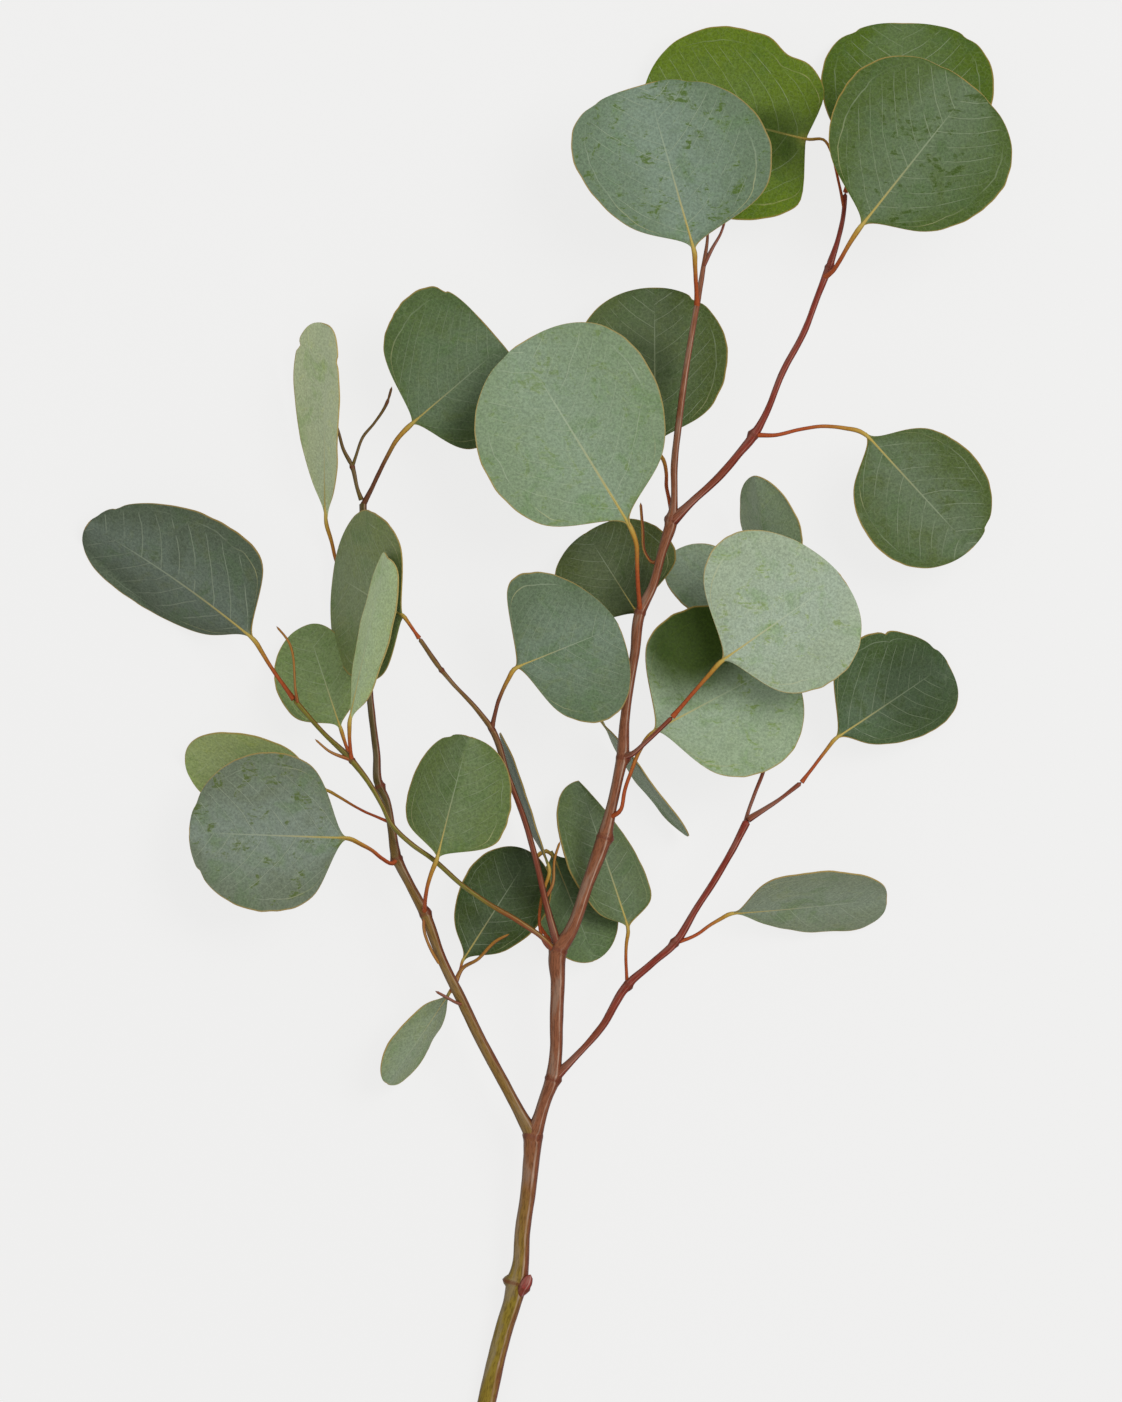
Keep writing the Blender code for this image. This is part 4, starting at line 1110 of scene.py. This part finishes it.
class EUCALYPTUS_OT_right_leaves(bpy.types.Operator):
    """Add the leaves on the right branch and the twig in front of it"""

    bl_idname = "eucalyptus.right_leaves"
    bl_label = "Right leaves"

    def execute(self, context):
        make_leaves("right_pale_front", "back_blue_small", "back_upper", "right_far", "right_low",
                    "twisted_centre")
        return {"FINISHED"}


FLOOR_SIDE = 8.0
FLOOR_DROP = 0.0001                 # keeps the floor clear of the wood that rests on it
KEY_PLACE = Vector((0.85, 0.55, 1.6))
CAMERA_PLACE = (0.00532, 0.01294)
SENSOR = 36
VIEW_REACH = 20


class EUCALYPTUS_OT_stage(bpy.types.Operator):
    """Add the floor, the light and the camera"""

    bl_idname = "eucalyptus.stage"
    bl_label = "Stage"

    def execute(self, context):
        looks = context.scene.eucalyptus_stage
        bpy.ops.object.select_all(action="DESELECT")
        bpy.ops.mesh.primitive_plane_add(size=FLOOR_SIDE, location=(0, 0, -FLOOR_DROP))
        floor = context.object
        floor.name = "floor"
        material = bpy.data.materials.new("floor")
        material.use_nodes = True
        shader = material.node_tree.nodes["Principled BSDF"]
        shader.inputs["Base Color"].default_value = (*looks.floor_colour, 1)
        shader.inputs["Roughness"].default_value = 0.9
        shader.inputs["Specular IOR Level"].default_value = 0.0
        shader.inputs["Emission Color"].default_value = (*looks.floor_glow, 1)
        shader.inputs["Emission Strength"].default_value = 1
        floor.data.materials.append(material)

        world = bpy.data.worlds.new("studio")
        world.use_nodes = True
        sky = world.node_tree.nodes["Background"]
        sky.inputs["Color"].default_value = (1, 1, 1, 1)
        sky.inputs["Strength"].default_value = looks.sky
        context.scene.world = world

        bpy.ops.object.light_add(type="AREA", location=KEY_PLACE)
        key = context.object
        key.data.energy = looks.key_power
        key.data.size = looks.key_size
        key.rotation_euler = (-KEY_PLACE).to_track_quat("-Z", "Y").to_euler()

        bpy.ops.object.camera_add(location=(*CAMERA_PLACE, looks.camera_height), rotation=(0, 0, 0))
        camera = context.object
        camera.data.lens = looks.lens
        camera.data.sensor_width = SENSOR
        camera.data.clip_end = VIEW_REACH
        context.scene.camera = camera
        context.scene.view_settings.view_transform = "Standard"
        return {"FINISHED"}


class EUCALYPTUS_PT_panel(bpy.types.Panel):
    """The pieces in the order in which they are built"""

    bl_label = "Eucalyptus branch"
    bl_idname = "EUCALYPTUS_PT_panel"
    bl_space_type = "VIEW_3D"
    bl_region_type = "UI"
    bl_category = "Eucalyptus"

    def draw(self, context):
        for operator in OPERATORS:
            self.layout.operator(operator.bl_idname)
        for looks in (context.scene.eucalyptus_wood, context.scene.eucalyptus_leaves,
                      context.scene.eucalyptus_stage):
            box = self.layout.box()
            for name in looks.__annotations__:
                box.prop(looks, name)


OPERATORS = (
    EUCALYPTUS_OT_main_stem, EUCALYPTUS_OT_branches, EUCALYPTUS_OT_twigs,
    EUCALYPTUS_OT_bare_stalks, EUCALYPTUS_OT_crown_leaves, EUCALYPTUS_OT_left_leaves,
    EUCALYPTUS_OT_centre_leaves, EUCALYPTUS_OT_right_leaves, EUCALYPTUS_OT_stage)
SETTINGS = (EucalyptusWood, EucalyptusLeaves, EucalyptusStage)


def register():
    """Registers the settings, the operators and the panel."""
    for kind in (*SETTINGS, *OPERATORS, EUCALYPTUS_PT_panel):
        bpy.utils.register_class(kind)
    bpy.types.Scene.eucalyptus_wood = PointerProperty(type=EucalyptusWood)
    bpy.types.Scene.eucalyptus_leaves = PointerProperty(type=EucalyptusLeaves)
    bpy.types.Scene.eucalyptus_stage = PointerProperty(type=EucalyptusStage)


def unregister():
    """Takes them away again."""
    del bpy.types.Scene.eucalyptus_stage
    del bpy.types.Scene.eucalyptus_leaves
    del bpy.types.Scene.eucalyptus_wood
    for kind in reversed((*SETTINGS, *OPERATORS, EUCALYPTUS_PT_panel)):
        bpy.utils.unregister_class(kind)


def main():
    """Builds every piece and the stage."""
    register()
    bpy.ops.eucalyptus.main_stem()
    bpy.ops.eucalyptus.branches()
    bpy.ops.eucalyptus.twigs()
    bpy.ops.eucalyptus.bare_stalks()
    bpy.ops.eucalyptus.crown_leaves()
    bpy.ops.eucalyptus.left_leaves()
    bpy.ops.eucalyptus.centre_leaves()
    bpy.ops.eucalyptus.right_leaves()
    bpy.ops.eucalyptus.stage()


if __name__ == "__main__":
    main()
